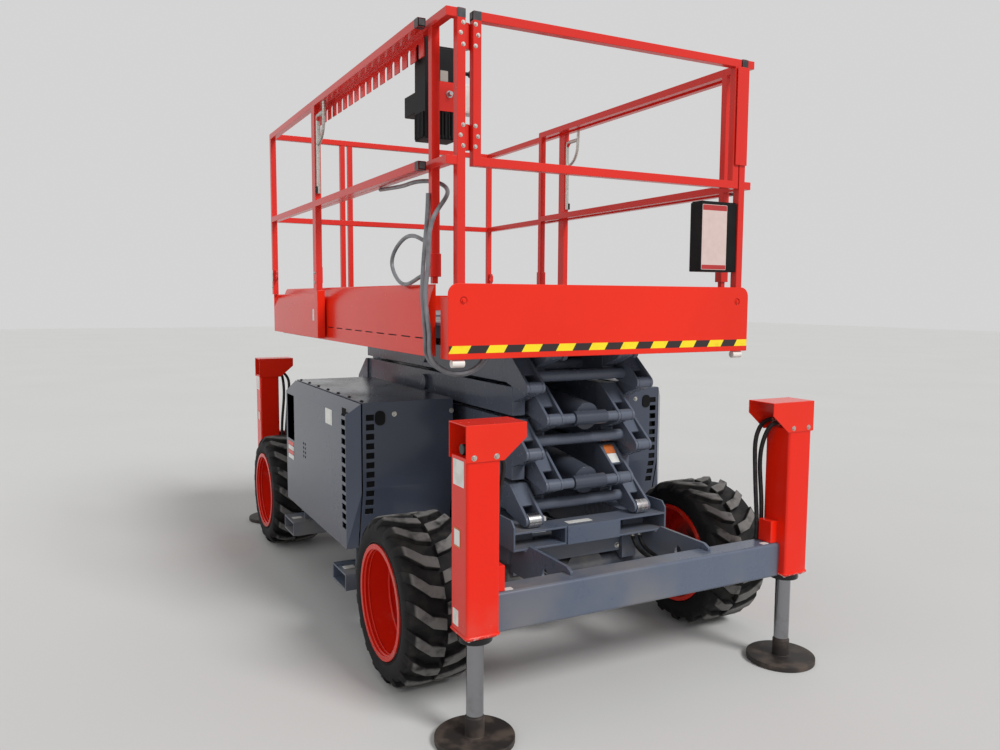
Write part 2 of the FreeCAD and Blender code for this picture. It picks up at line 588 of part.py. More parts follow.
def arm_side(kind_x, stage, low_end):
    """One side of a scissor arm: tube, fork plates on its low pins, eye round its high pins."""
    x = (kind_x, kind_x + ARM_W)
    low = (REAR_PIN_Y, 1) if low_end < 0 else (FRONT_PIN_Y, -1)
    high = (FRONT_PIN_Y, -1) if low_end < 0 else (REAR_PIN_Y, 1)
    low_z = BASE_PIN_Z + (stage - 1) * PITCH
    high_z = low_z + PITCH
    mid_z = (low_z + high_z) / 2
    half = ARM_DEPTH / 2
    tube = box(x, (REAR_PIN_Y + TUBE_SETBACK, FRONT_PIN_Y - TUBE_SETBACK), (mid_z - half, mid_z + half))
    gap = PITCH / 2 - half
    fork = hook((low[0], low_z), low[1], 1, gap, ARM_DEPTH)
    eye = hook((high[0], high_z), high[1], -1, gap, EYE_DEPTH)
    pieces = [tube]
    for plate_x in ((x[0] - FORK_PLATE, x[0]), (x[1], x[1] + FORK_PLATE)):
        pieces.append(prism_x(fork, plate_x))
        pieces.append(rod((plate_x[0], low[0], low_z), (1, 0, 0), FORK_PLATE, BOSS_R))
    pieces.append(prism_x(eye, (x[0] + EYE_GAP, x[1] - EYE_GAP)))
    pieces.append(rod((x[0] + EYE_GAP, high[0], high_z), (1, 0, 0), ARM_W - 2 * EYE_GAP, BOSS_R))
    top = gap + ARM_DEPTH
    cap = [(low[0] + low[1] * u, low_z + v) for u, v in
           ((52.0, 50.0), (TUBE_SETBACK, top), (TUBE_SETBACK + 8, top), (TUBE_SETBACK + 8, top - 12), (58.0, 42.0))]
    pieces.append(prism_x(cap, x))
    eye_bore = rod((x[0], high[0], high_z), (1, 0, 0), ARM_W, PIN_R + RUNNING)
    low_pin = rod((x[0] - FORK_PLATE, low[0], low_z), (1, 0, 0), ARM_W + 2 * FORK_PLATE, PIN_R)
    return pieces, eye_bore, low_pin


def hook(pin, inward, up, gap, depth):
    """The side outline of an arm end, from its pin's boss to the tube's end."""
    far = TUBE_SETBACK + 28
    near = (TUBE_SETBACK, gap + depth)
    left = tangent_point(near, BOSS_R, 1)
    right = tangent_point((far, gap), BOSS_R, -1)
    local = [left, near, (far, gap + depth), (far, gap), right]
    return [(pin[0] + inward * u, pin[1] + up * v) for u, v in local]


def tangent_point(point, radius, turn):
    """Where a line from a point touches a circle round the pin."""
    distance = math.hypot(*point)
    angle = math.atan2(point[1], point[0]) + turn * math.acos(radius / distance)
    return (radius * math.cos(angle), radius * math.sin(angle))


def arm(kind, stage):
    """A whole scissor arm: a left and a right side joined by cross tubes."""
    outer = kind == "outer"
    low_end = -1 if (stage % 2 == 1) == outer else 1
    x0 = OUTER_X if outer else INNER_X
    pieces, eye_bore, low_pin = arm_side(x0, stage, low_end)
    low_z = BASE_PIN_Z + (stage - 1) * PITCH
    mid_z = low_z + PITCH / 2
    low_y = REAR_PIN_Y if low_end < 0 else FRONT_PIN_Y
    top_roller = stage == STAGES and not outer
    bores = [] if top_roller else [eye_bore]
    pins = [low_pin]
    if outer:
        pieces.append(rod((x0 - FORK_PLATE, SCISSOR_MID_Y, mid_z), (-1, 0, 0), CENTRE_BOSS - 1, CENTRE_BOSS_R))
        pieces.append(rod((x0 - FORK_PLATE, SCISSOR_MID_Y, mid_z), (1, 0, 0), FORK_PLATE + 1, CENTRE_BOSS_R))
        pieces.append(rod((x0 + ARM_W, SCISSOR_MID_Y, mid_z), (1, 0, 0), CENTRE_BOSS, CENTRE_BOSS_R))
        pins.append(rod((INNER_X, SCISSOR_MID_Y, mid_z), (1, 0, 0), OUTER_X - INNER_X + 5, PIN_R))
    else:
        bores.append(rod((x0 - 1, SCISSOR_MID_Y, mid_z), (1, 0, 0), ARM_W + 2, PIN_R + RUNNING))
    if stage == 1 and not outer:
        pins = []
        bores.append(rod((x0 - 20, low_y, low_z), (1, 0, 0), ARM_W + 40, PIN_R + RUNNING))
    if low_end < 0 and not outer:
        pins.append(rod((CYL_EYE_X - 30, low_y, low_z), (1, 0, 0), x0 - CYL_EYE_X + 30, PIN_R))
        pins.append(rod((CYL_EYE_X + 2, low_y, low_z), (1, 0, 0), x0 - FORK_PLATE - CYL_EYE_X - 2, PIN_R + 5))
    if top_roller:
        pins.append(rod((x0 - ROLLER_W - 3, REAR_PIN_Y, TOP_PIN_Z), (1, 0, 0), ARM_W + 2 * ROLLER_W + 6, PIN_R))
        for x in (x0 - ROLLER_W - 1, x0 + ARM_W + 1):
            pins.append(rod((x, REAR_PIN_Y, TOP_PIN_Z), (1, 0, 0), ROLLER_W, ROLLER_R))
    side = fuse(pieces)
    for bore in bores:
        side = side.cut(bore)
    side = fuse([side] + pins) if pins else side
    return fuse(both_sides(side) + arm_cross_tubes(outer, stage, low_end, low_y, low_z, mid_z))


def arm_cross_tubes(outer, stage, low_end, low_y, low_z, mid_z):
    """Round tubes between an arm's two sides, clear of the lift cylinders."""
    inward = -low_end
    if outer:
        reach = OUTER_X - FORK_PLATE + 4
        places = [(low_y + inward * CROSS_AT[0], low_z + CROSS_AT[1])]
    else:
        reach = INNER_X + 4
        along = (ARM_PIN_LENGTH - 300, ARM_PIN_LENGTH - 160) if low_end < 0 else (160, ARM_PIN_LENGTH - 300)
        places = [(low_y + inward * u, mid_z) for u in along]
    tubes = [rod((-reach, y, z), (1, 0, 0), 2 * reach, CROSS_R) for y, z in places]
    if not outer and low_end > 0 and stage > 1:
        y = low_y + inward * CYL_SEAT_U
        tubes.append(rod((-reach, y, mid_z + CYL_LUG_RISE), (1, 0, 0), 2 * reach, CROSS_R))
        for side in SIDES:
            lug = [(y - 26, mid_z + CYL_LUG_RISE), (y - 30, mid_z - CYL_SEAT_DROP - 25),
                   (y + 30, mid_z - CYL_SEAT_DROP - 25), (y + 26, mid_z + CYL_LUG_RISE)]
            tubes.append(prism_x(lug, span(side, CYL_ROD_EYE_X + 2, CYL_ROD_EYE_X + 14)))
    return tubes


def lift_cylinder(stage):
    """A barrel on the stub pins of an inner arm, and its rod up to the lugs two stages higher."""
    base = (REAR_PIN_Y, BASE_PIN_Z + (stage - 1) * PITCH)
    tip = (FRONT_PIN_Y - CYL_SEAT_U, BASE_PIN_Z + (stage + 0.5) * PITCH - CYL_SEAT_DROP)
    closed = math.dist(base, tip)
    along = (0, (tip[0] - base[0]) / closed, (tip[1] - base[1]) / closed)

    def at(distance):
        return (0, base[0] + along[1] * distance, base[1] + along[2] * distance)

    eye = rod((-CYL_EYE_X, base[0], base[1]), (1, 0, 0), 2 * CYL_EYE_X, 30)
    tube = rod(at(20), along, closed - CYL_ROD_SHOW - 20, CYL_R)
    gland = rod(at(closed - CYL_ROD_SHOW), along, 20, CYL_R - 8)
    barrel = fuse([eye, tube, gland])
    barrel = barrel.cut(rod((-CYL_EYE_X - 1, base[0], base[1]), (1, 0, 0), 2 * CYL_EYE_X + 2, PIN_R + RUNNING))
    barrel = barrel.cut(rod(at(CYL_ROD_START), along, closed, CYL_ROD_R + RUNNING))
    stem = rod(at(CYL_ROD_START + 5), along, closed - CYL_ROD_START - 55, CYL_ROD_R)
    neck = rod(at(closed - 60), along, 60, CYL_ROD_EYE_X - 2)
    end = rod((-CYL_ROD_EYE_X, tip[0], tip[1]), (1, 0, 0), 2 * CYL_ROD_EYE_X, 32)
    return barrel, fuse([stem, neck, end])


def rollers(x0, y, z):
    """A steel roller on the pin of each side, bored for it."""
    roller = rod((x0 + EYE_GAP, y, z), (1, 0, 0), ARM_W - 2 * EYE_GAP, ROLLER_R)
    return both_sides(roller.cut(rod((x0, y, z), (1, 0, 0), ARM_W, PIN_R + RUNNING)))


def post(x, y, z, size=TUBE):
    return box((x - size / 2, x + size / 2), (y - size / 2, y + size / 2), z)


def rail_y(x, y, top, size=TUBE):
    return box((x - size / 2, x + size / 2), y, (top - size, top))


def rail_x(x, y, top, size=TUBE):
    return box(x, (y - size / 2, y + size / 2), (top - size, top))


def platform_deck():
    """The main floor on two roller rails, cross channels and the front pins of the top arms."""
    under = DECK_TOP - FLOOR_T + 1
    pieces = [box((-SIDE_IN_X, SIDE_IN_X), (DECK_Y[0] + PANEL_T, DECK_Y[1]), (DECK_TOP - FLOOR_T, DECK_TOP))]
    ear_y = ((FRONT_PIN_Y - 60, under), (FRONT_PIN_Y - 27, TOP_PIN_Z - 27),
             (FRONT_PIN_Y + 27, TOP_PIN_Z - 27), (FRONT_PIN_Y + 60, under))
    for side in SIDES:
        pieces.append(box(span(side, INNER_X - ROLLER_W - 4, INNER_X + ARM_W + ROLLER_W),
                          (REAR_PIN_Y - 110, DECK_Y[1] - 60), (DECK_RAIL_Z, under)))
        for x in (OUTER_X - 13, OUTER_X + ARM_W + 1):
            pieces.append(prism_x(ear_y, span(side, x, x + 12)))
        pieces.append(rod((side * (OUTER_X - 13), FRONT_PIN_Y, TOP_PIN_Z), (side, 0, 0), ARM_W + 26, PIN_R))
    for index in range(6):
        y = DECK_Y[0] + 73 + index * (DECK_Y[1] - DECK_Y[0] - 133) / 5
        pieces.append(box((-SIDE_IN_X, SIDE_IN_X), (y - 30, y + 30), (DECK_RAIL_Z + 22, under)))
    return fuse(pieces)


def side_panel():
    """A folded toe board along the main deck: upright below, a steep chamfer, then a near-flat top."""
    inner = SIDE_IN_X + SEAT
    section = [(inner, PANEL_BOTTOM), (PANEL_HALF, PANEL_BOTTOM), (PANEL_HALF, PANEL_TOP - 87),
               (PANEL_HALF - 14, PANEL_TOP - 35), (SIDE_IN_X + 8, PANEL_TOP - 8), (inner, PANEL_TOP)]
    return prism_y(section, SIDE_Y)


def rear_panel():
    """The pressed plate across the rear, with round corners, bolt holes and a folded lower lip."""
    y = (DECK_Y[0], DECK_Y[0] + PANEL_T)
    plate = box((-PANEL_HALF, PANEL_HALF), y, (PANEL_BOTTOM, PANEL_TOP))
    corners = [edge for edge in plate.Edges
               if abs(edge.Length - PANEL_T) < 0.1 and edge.CenterOfMass.z > PANEL_TOP - 1]
    plate = plate.makeFillet(40.0, corners)
    pieces = [plate, box((-PANEL_HALF + 4, PANEL_HALF - 4), (y[0], y[0] + 34), (PANEL_BOTTOM, PANEL_BOTTOM + PANEL_T))]
    for side in SIDES:
        pieces.append(box(span(side, PANEL_HALF - 7, PANEL_HALF), (y[0] + 1, y[0] + 70),
                          (PANEL_BOTTOM, PANEL_TOP - 50)))
    panel = fuse(pieces)
    for side in SIDES:
        panel = panel.cut(rod((side * (PANEL_HALF - 62), y[0] - 1, PANEL_TOP - 62), (0, 1, 0), PANEL_T + 2, 14.0))
    return panel


def main_rail(side):
    """One guardrail of the main deck: two rails, posts on sleeves and the corner post at the gate."""
    x = side * MAIN_RAIL_X
    base = PANEL_TOP + SEAT
    pieces = [rail_y(x, (DECK_Y[0] + TUBE, MAIN_RAIL_END), top) for top in (RAIL_TOP, MID_RAIL)]
    for post_y in (MAIN_RAIL_END - TUBE / 2, REAR_PIN_Y):
        pieces += [post(x, post_y, (base, base + 30), TUBE - 10), post(x, post_y, (base + 25, base + 110), TUBE + 8),
                   post(x, post_y, (base + 105, RAIL_TOP))]
    corner = CORNER_LEFT_X if side < 0 else CORNER_RIGHT_X
    pieces.append(box(span(side, corner - TUBE / 2, corner + TUBE / 2), CORNER_Y, (DECK_TOP, RAIL_TOP)))
    for top in (RAIL_TOP, MID_RAIL):
        pieces.append(box(span(side, corner - TUBE / 2, MAIN_RAIL_X + TUBE / 2), (DECK_Y[0] + 10, DECK_Y[0] + TUBE + 6),
                          (top - TUBE, top)))
    if side < 0:
        pieces.append(index_plate())
    else:
        pieces += gate_stop(corner)
    return fuse(pieces)


def gate_stop(corner):
    """A flat plate outside the right corner post that the gate closes against."""
    reach, thickness, height = STOP_PLATE
    outer, face = corner + TUBE / 2, CORNER_Y[0]
    z = (RAIL_TOP - 2 - TUBE - height, RAIL_TOP - 2 - TUBE)
    plate = box((outer - TUBE - reach + 16, outer), (face - 5.5 - thickness, face - 5.5), z)
    return [plate, box((outer - TUBE, outer), (face - 6, face + 1), z)]


def index_plate():
    """The toothed plate under the left top rail that stops the extension at set steps."""
    z = (RAIL_TOP - TUBE - INDEX_H, RAIL_TOP - TUBE + 1)
    x = (-MAIN_RAIL_X - 3, -MAIN_RAIL_X + 3)
    plate = box(x, INDEX_Y, z)
    width, height = INDEX_SLOT
    slots = []
    for index in range(16):
        y = INDEX_Y[0] + 60 + index * INDEX_PITCH
        outline = [(y - width / 2, z[0] - 1), (y + width / 2, z[0] - 1), (y + width / 2, z[0] + height - 8),
                   (y + width / 4, z[0] + height), (y - width / 4, z[0] + height), (y - width / 2, z[0] + height - 8)]
        slots.append(prism_x(outline, (x[0] - 1, x[1] + 1)))
    return plate.cut(Part.makeCompound(slots))


def gate():
    """The rear entry gate: a hinge stile and a latch stile between its top and middle rails."""
    pieces = [box((GATE_X[0], GATE_X[0] + TUBE), GATE_Y, (MID_RAIL - TUBE, RAIL_TOP - 2)),
              box(GATE_X, GATE_Y, (RAIL_TOP - TUBE - 2, RAIL_TOP - 2)),
              box(GATE_X, GATE_Y, (MID_RAIL - TUBE, MID_RAIL)),
              box((GATE_X[1] - TUBE, GATE_X[1]), GATE_Y, (MID_RAIL - TUBE, RAIL_TOP - 2))]
    for z in GATE_HINGE_Z:
        pieces.append(rod((GATE_HINGE_X, GATE_HINGE_Y, z), (0, 0, 1), GATE_HINGE_LENGTH, GATE_HINGE_R))
        pieces.append(box((GATE_HINGE_X, GATE_X[0] + 20), (GATE_Y[1], GATE_Y[1] + 6), (z, z + GATE_HINGE_LENGTH)))
    return fuse(pieces)


CONTROL_X = (-MAIN_RAIL_X + TUBE / 2 + SEAT, -MAIN_RAIL_X + 155.0)
CONTROL_Y = (REAR_PIN_Y + 122.0, REAR_PIN_Y + 232.0)


def control_box():
    """The upper controls: a ribbed box with a console above and a tray towards the deck."""
    y = CONTROL_Y
    pieces = [box(CONTROL_X, y, (RAIL_TOP - 400, RAIL_TOP - 60)),
              box(CONTROL_X, (y[0], y[1] + 110), (RAIL_TOP - 290, RAIL_TOP - 210)),
              box((CONTROL_X[0], CONTROL_X[0] + 30), y, (RAIL_TOP - 61, RAIL_TOP - 6))]
    body = fuse(pieces)
    grooves = []
    for index in range(3):
        x = CONTROL_X[0] + 25 + index * 38
        grooves.append(box((x, x + 14), (y[0] - 1, y[0] + 8), (RAIL_TOP - 385, RAIL_TOP - 270)))
    return body.cut(Part.makeCompound(grooves))


def outlet_box():
    """A white outlet box beside the controls, with a round plug on its outer face."""
    x0 = CONTROL_X[1] + SEAT
    y = (CONTROL_Y[0] + 10, CONTROL_Y[0] + 70)
    case = box((x0, x0 + 80), y, (RAIL_TOP - 290, RAIL_TOP - 180))
    return fuse([case, rod((x0 + 79, (y[0] + y[1]) / 2, RAIL_TOP - 250), (1, 0, 0), 20, 22)])


def document_box():
    wall = CORNER_RIGHT_X - TUBE / 2 - SEAT
    return box((wall - 197, wall), (DECK_Y[0] + 13, DECK_Y[0] + 83), (PANEL_TOP + 65, PANEL_TOP + 355))


def bumper(side):
    return rod((side * (PANEL_HALF - 45) - 25, DECK_Y[0] + 19, PANEL_BOTTOM - 15 - SEAT), (1, 0, 0), 50.0, 15.0)


def conduits():
    """Three grey conduits at the left rear post: one along the middle rail, one beside it, one loop."""
    x, y, z = -MAIN_RAIL_X, REAR_PIN_Y, PANEL_TOP
    channel = DECK_RAIL_Z + 20
    rail = MID_RAIL - TUBE - CONDUIT_R - SEAT
    inside = x + TUBE / 2 + CONDUIT_R + 12
    outside = x - TUBE / 2 - CONDUIT_R - SEAT
    along_rail = ((x, y + 590, rail), (x, y + 440, rail - 9), (x, y + 300, rail - 15), (x, y + 160, rail - 17),
                  (inside, y + 40, rail - 34),
                  (inside, y - 40, rail - 80), (x - 20, y - 56, rail - 160), (x - 42, y - 40, z + 70),
                  (x - 44, y - 21, z - 55), (x - 40, y - 47, z - 205), (x - 35, y - 53, z - 275),
                  (x, y - 68, z - 313), (x + 80, y - 88, z - 330), (x + 155, y - 93, z - 285), (x + 170, y - 93, channel))
    down_post = ((outside, y, z + 330), (outside - 3, y, z + 260), (x - 38, y + 4, z + 120), (x - 42, y + 13, z - 55),
                 (x - 42, y - 11, z - 205), (x - 35, y - 19, z - 275), (x, y - 33, z - 313), (x + 80, y - 53, z - 340),
                 (x + 175, y - 65, z - 295), (x + 200, y - 67, channel))
    face = y + TUBE / 2 + 2 * SEAT
    loop = ((x, face, z + 150), (x, face + 14, z + 151), (x, y + 165, z + 182), (x, y + 357, z + 170),
            (x, y + 452, z + 93), (x, y + 377, z + 19), (x, y + 180, z + 19), (x, face + 4, z + 42))
    return [hose(points, CONDUIT_R) for points in (along_rail, down_post, loop)]


def extension_boards():
    """The roll-out deck's front board and the side boards outside the main deck's."""
    low, high = EXT_Z
    section = [(EXT_IN_X, low), (EXT_OUT_X - 6, low), (EXT_OUT_X - 6, high - 78), (EXT_OUT_X - 18, high - 28),
               (EXT_IN_X + 4, high), (EXT_IN_X, high)]
    pieces = [box((-EXT_OUT_X + 6, EXT_OUT_X - 6), (EXT_Y[1] - 6, EXT_Y[1]), EXT_Z)]
    for side in SIDES:
        shape = prism_y(section, (EXT_Y[0], EXT_Y[1] - 3))
        column = box(span(side, EXT_IN_X, EXT_OUT_X), (EXT_Y[0], EXT_Y[0] + EXT_COLUMN), (low, high + 20))
        pieces += [shape, column] if side > 0 else [mirrored(shape), column]
    return fuse(pieces)


def extension_rails():
    """The extension's guardrail: side rails, posts, a split front rail, handles and anchors."""
    pieces = []
    y = (REAR_PIN_Y - 3, EXT_Y[1])
    base = EXT_Z[1] + SEAT
    front_y = EXT_Y[1] - TUBE / 2
    for side in SIDES:
        x = side * EXT_RAIL_X
        pieces += [rail_y(x, y, EXT_RAIL_TOP), rail_y(x, y, EXT_MID_RAIL)]
        pieces.append(box(span(side, EXT_RAIL_X - TUBE / 2, EXT_RAIL_X + TUBE / 2),
                          (EXT_Y[0], EXT_Y[0] + EXT_COLUMN + 10), (base + 20, EXT_RAIL_TOP)))
        pieces.append(post(x, front_y, (base, EXT_RAIL_TOP)))
        pieces += push_handle(x) + [lanyard_anchor(x, front_y)]
    half = EXT_RAIL_X + TUBE / 2
    for top in (EXT_RAIL_TOP, EXT_MID_RAIL):
        pieces.append(rail_x((-half, half), front_y, top))
    for x in (-310.0, -260.0):
        pieces.append(post(x, front_y, (base, EXT_RAIL_TOP), 30.0))
    return fuse(pieces)


def push_handle(x):
    """A bent grab bar on the extension's rear post, pushed to roll the deck out."""
    y = EXT_Y[0] - HANDLE_R + 2
    top = EXT_RAIL_TOP - 84
    return [rod((x, y, EXT_RAIL_TOP - 464), (0, 0, 1), 360, HANDLE_R),
            rod((x, y, top - 24), (0, -1, 1), 34, HANDLE_R),
            rod((x, y - 20, top), (0, -1, 0), 90, HANDLE_R)]


def lanyard_anchor(x, front_y):
    """A D-shaped plate behind the extension's front post, with a round hole."""
    y, z = front_y - TUBE / 2, EXT_Z[1] + 120
    outline = [(y + 2, z - 34), (y - 34, z - 34), (y - 50, z - 18), (y - 50, z + 18), (y - 34, z + 34), (y + 2, z + 34)]
    plate = prism_x(outline, (x - 5, x + 5))
    return plate.cut(rod((x - 6, y - 24, z), (1, 0, 0), 12, ANCHOR_R))


os.makedirs("parts", exist_ok=True)

save("chassis_rails", both_sides(box(RAIL_X, (RAIL_Y[0] + SEAT, RAIL_Y[1]), RAIL_Z)))
save("cross_members", cross_members())
save("side_trays", [side_tray(side) for side in SIDES])
save("fork_pockets", [fork_pocket(-POCKET_Y), fork_pocket(POCKET_Y)])
save("rear_member", rear_member())
save("side_plates", [side_plate(side, end) for side in SIDES for end in ENDS])
save("axles", axles())
save("outrigger_beams", [outrigger_beam(end) for end in ENDS])
save("outrigger_legs", [outrigger_leg(side, end) for side in SIDES for end in ENDS])
save("leg_caps", [leg_cap(side, end) for side in SIDES for end in ENDS])
leg_hoses = [strand for side in SIDES for end in ENDS for strand in leg_hose_pair(side, end)]
save("leg_hoses", leg_hoses + [chassis_hose(side, x) for side in SIDES for x in (250.0, 285.0)])
save("engine_and_tank", [engine_block(side) for side in SIDES])
tyre_shape = tyre()
for side, word in ((-1, "left"), (1, "right")):
    save("cover_%s" % word, cover_shell(side))
    save("cover_door_%s" % word, cover_door(side))
    save("knuckle_%s" % word, knuckle(side))
    for end, place in ((-1, "rear"), (1, "front")):
        save("tyre_%s_%s" % (place, word), wheel_place(tyre_shape, side, end * WHEEL_BASE / 2))
        save("rim_%s_%s" % (place, word), rim(side, end * WHEEL_BASE / 2))
        save("ram_%s_%s" % (place, word), ram(side, end))
save("tie_rod", tie_rod())
for stage in range(1, STAGES + 1):
    for kind in ("inner", "outer"):
        save("%s_arm_%d" % (kind, stage), arm(kind, stage))
save("base_rollers", rollers(OUTER_X, REAR_PIN_Y, BASE_PIN_Z))
for stage, word in ((2, "lower"), (4, "upper")):
    barrel, stem = lift_cylinder(stage)
    save("lift_barrel_%s" % word, barrel)
    save("lift_rod_%s" % word, stem)
save("platform_deck", platform_deck())
save("side_panels", both_sides(side_panel()))
save("rear_panel", rear_panel())
save("main_rails", [main_rail(side) for side in SIDES])
save("gate", gate())
save("control_box", control_box())
save("outlet_box", outlet_box())
save("document_box", document_box())
save("platform_bumpers", [bumper(side) for side in SIDES])
save("conduits", conduits())
save("extension_deck", box((-SIDE_IN_X + 8, SIDE_IN_X - 8), (EXT_FLOOR_Y, EXT_Y[1] - 6 - SEAT),
                           (DECK_TOP + SEAT, DECK_TOP + SEAT + EXT_FLOOR_T)))
save("extension_boards", extension_boards())
save("extension_rails", extension_rails())
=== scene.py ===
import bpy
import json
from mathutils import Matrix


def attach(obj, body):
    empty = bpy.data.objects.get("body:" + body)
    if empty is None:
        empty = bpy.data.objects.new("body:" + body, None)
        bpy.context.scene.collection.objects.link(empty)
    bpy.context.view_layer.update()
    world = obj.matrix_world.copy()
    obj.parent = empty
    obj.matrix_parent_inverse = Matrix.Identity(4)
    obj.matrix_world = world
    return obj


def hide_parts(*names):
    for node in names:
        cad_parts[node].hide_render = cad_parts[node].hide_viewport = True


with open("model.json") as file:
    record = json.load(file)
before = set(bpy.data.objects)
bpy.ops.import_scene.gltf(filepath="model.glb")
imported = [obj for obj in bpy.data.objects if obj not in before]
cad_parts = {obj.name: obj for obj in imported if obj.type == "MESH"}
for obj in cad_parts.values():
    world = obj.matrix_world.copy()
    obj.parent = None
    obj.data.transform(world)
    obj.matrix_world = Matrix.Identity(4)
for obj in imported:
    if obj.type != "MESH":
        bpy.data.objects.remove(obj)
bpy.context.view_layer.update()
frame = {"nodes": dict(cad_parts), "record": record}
import bmesh
import bpy
import json
import math
from mathutils import Matrix, Vector

# Stage: a pale floor under soft light, and the photograph's viewpoint low behind the left
# rear corner. Lengths are in metres throughout, and the machine's front is towards +Y.

scene = bpy.context.scene
scene.view_settings.view_transform = "Standard"

YAW, PITCH_DOWN, ROLL = math.radians(27.61), math.radians(5.265), math.radians(0.318)
LENS, FILM_WIDTH, VIEWPOINT = 29.79, 36.0, Vector((-1.9185, -4.079, 1.5203))
SUNS = (("key", (1.6, -4.4, 4.2), 18.0, 2.05), ("fill", (-4.0, -1.2, 2.4), 60.0, 0.35))


def linked(name, data):
    """A new object in the scene."""
    made = bpy.data.objects.new(name, data)
    scene.collection.objects.link(made)
    return made


ahead = Vector((math.sin(YAW) * math.cos(PITCH_DOWN), math.cos(YAW) * math.cos(PITCH_DOWN),
                -math.sin(PITCH_DOWN)))
level = Vector((math.cos(YAW), -math.sin(YAW), 0.0))
upward = level.cross(ahead)
right = level * math.cos(ROLL) + upward * math.sin(ROLL)
top = upward * math.cos(ROLL) - level * math.sin(ROLL)
camera = linked("camera", bpy.data.cameras.new("camera"))
camera.data.sensor_width = FILM_WIDTH
camera.data.lens = LENS
camera.data.clip_end = 80.0
camera_turn = Matrix((right, top, -ahead)).transposed().to_4x4()
camera.matrix_world = Matrix.Translation(VIEWPOINT) @ camera_turn
scene.camera = camera

for name, place, spread, strength in SUNS:
    lamp = linked(name, bpy.data.lights.new(name, "SUN"))
    lamp.data.angle = math.radians(spread)
    lamp.data.energy = strength
    lamp.location = place
    lamp.rotation_euler = (-Vector(place)).to_track_quat("-Z", "Y").to_euler()


class Field:
    """A number, colour or vector over a surface: one socket in that surface's nodes."""

    def __init__(self, tree, socket):
        self.tree = tree
        self.socket = socket

    def node(self, kind, settings, sockets, output=0):
        """Adds a node: its settings first, then the values or links of its sockets."""
        made = self.tree.nodes.new("ShaderNode" + kind)
        for name, value in settings.items():
            setattr(made, name, value)
        for key, value in sockets.items():
            if isinstance(value, Field):
                self.tree.links.new(value.socket, made.inputs[key])
            else:
                made.inputs[key].default_value = value
        return Field(self.tree, made.outputs[output])

    def maths(self, operation, other=0.0):
        return self.node("Math", {"operation": operation}, {0: self, 1: other})

    def __add__(self, other):
        return self.maths("ADD", other)

    def __sub__(self, other):
        return self.maths("SUBTRACT", other)

    def __rsub__(self, other):
        return self.node("Math", {"operation": "SUBTRACT"}, {0: other, 1: self})

    def __mul__(self, other):
        return self.maths("MULTIPLY", other)

    def __truediv__(self, other):
        return self.maths("DIVIDE", other)

    def __gt__(self, other):
        return self.maths("GREATER_THAN", other)

    __radd__ = __add__
    __rmul__ = __mul__

    def clear_of(self, low, high):
        """0 up to the low value, 1 from the high one, and smooth between."""
        return self.node("MapRange", {"interpolation_type": "SMOOTHSTEP"}, {0: self, 1: low, 2: high})

    def axis(self, index):
        return self.node("SeparateXYZ", {}, {0: self}, index)

    def noise(self, scale, detail=3.0):
        return self.node("TexNoise", {}, {"Vector": self, "Scale": scale, "Detail": detail})

    def paint(self, under, over):
        """The colour under, covered by the colour over where this field is 1."""
        return self.node("Mix", {"data_type": "RGBA"}, {0: self, 6: under, 7: over}, 2)

    def bump(self, strength, distance):
        return self.node("Bump", {}, {"Height": self, "Strength": strength, "Distance": distance})

    def feed(self, shader, socket):
        self.tree.links.new(self.socket, shader.inputs[socket])


def srgb(red, green, blue):
    """A colour as seen on a screen, 0 to 255, in the renderer's own linear values."""
    parts = [part / 255.0 for part in (red, green, blue)]
    return tuple(p / 12.92 if p <= 0.04045 else ((p + 0.055) / 1.055) ** 2.4 for p in parts) + (1.0,)


def shade(colour, share):
    return tuple(part * share for part in colour[:3]) + (1.0,)


def surface(name, constants):
    """A new material with its shader, and the place and the facing on the object."""
    material = bpy.data.materials.new(name)
    material.use_nodes = True
    tree = material.node_tree
    shader = tree.nodes["Principled BSDF"]
    for socket, value in constants.items():
        shader.inputs[socket].default_value = value
    coordinates = tree.nodes.new("ShaderNodeTexCoord")
    place, facing = [Field(tree, coordinates.outputs[output]) for output in ("Object", "Normal")]
    return material, shader, place, facing


FLOOR_HALF = 40.0
SQUARE = ((-1, -1), (1, -1), (1, 1), (-1, 1))
floor_mesh = bpy.data.meshes.new("floor")
floor_mesh.from_pydata([(x * FLOOR_HALF, y * FLOOR_HALF, -0.001) for x, y in SQUARE], [], [(0, 1, 2, 3)])
floor = linked("floor", floor_mesh)
floor_paint, shader, place, facing = surface("pale_floor", {"Roughness": 0.9, "Specular IOR Level": 0.1})
place.noise(0.6, 2.0).paint(srgb(206, 206, 205), srgb(212, 212, 210)).feed(shader, "Base Color")
floor_mesh.materials.append(floor_paint)

sky = bpy.data.worlds.new("sky")
sky.use_nodes = True
SKY_LIGHT, SKY_SEEN = 0.48, 0.66
background = sky.node_tree.nodes["Background"]
background.inputs["Color"].default_value = (1.0, 1.0, 1.0, 1.0)
rays = sky.node_tree.nodes.new("ShaderNodeLightPath")
seen = Field(sky.node_tree, rays.outputs["Is Camera Ray"])
for ray in ("Is Glossy Ray", "Is Transmission Ray"):
    seen = seen.maths("MAXIMUM", Field(sky.node_tree, rays.outputs[ray]))
(seen * (SKY_SEEN - SKY_LIGHT) + SKY_LIGHT).feed(background, "Strength")
scene.world = sky

# Chassis: two box rails with cross members, side trays, fork pockets and the rear member.
# Welded steel sprayed slate grey, dusty below and on its upper faces.

SLATE = srgb(93, 102, 119)
DUST = srgb(150, 141, 128)
SPRAYED = {"Coat Weight": 0.1, "Coat Roughness": 0.12, "Specular IOR Level": 0.3}


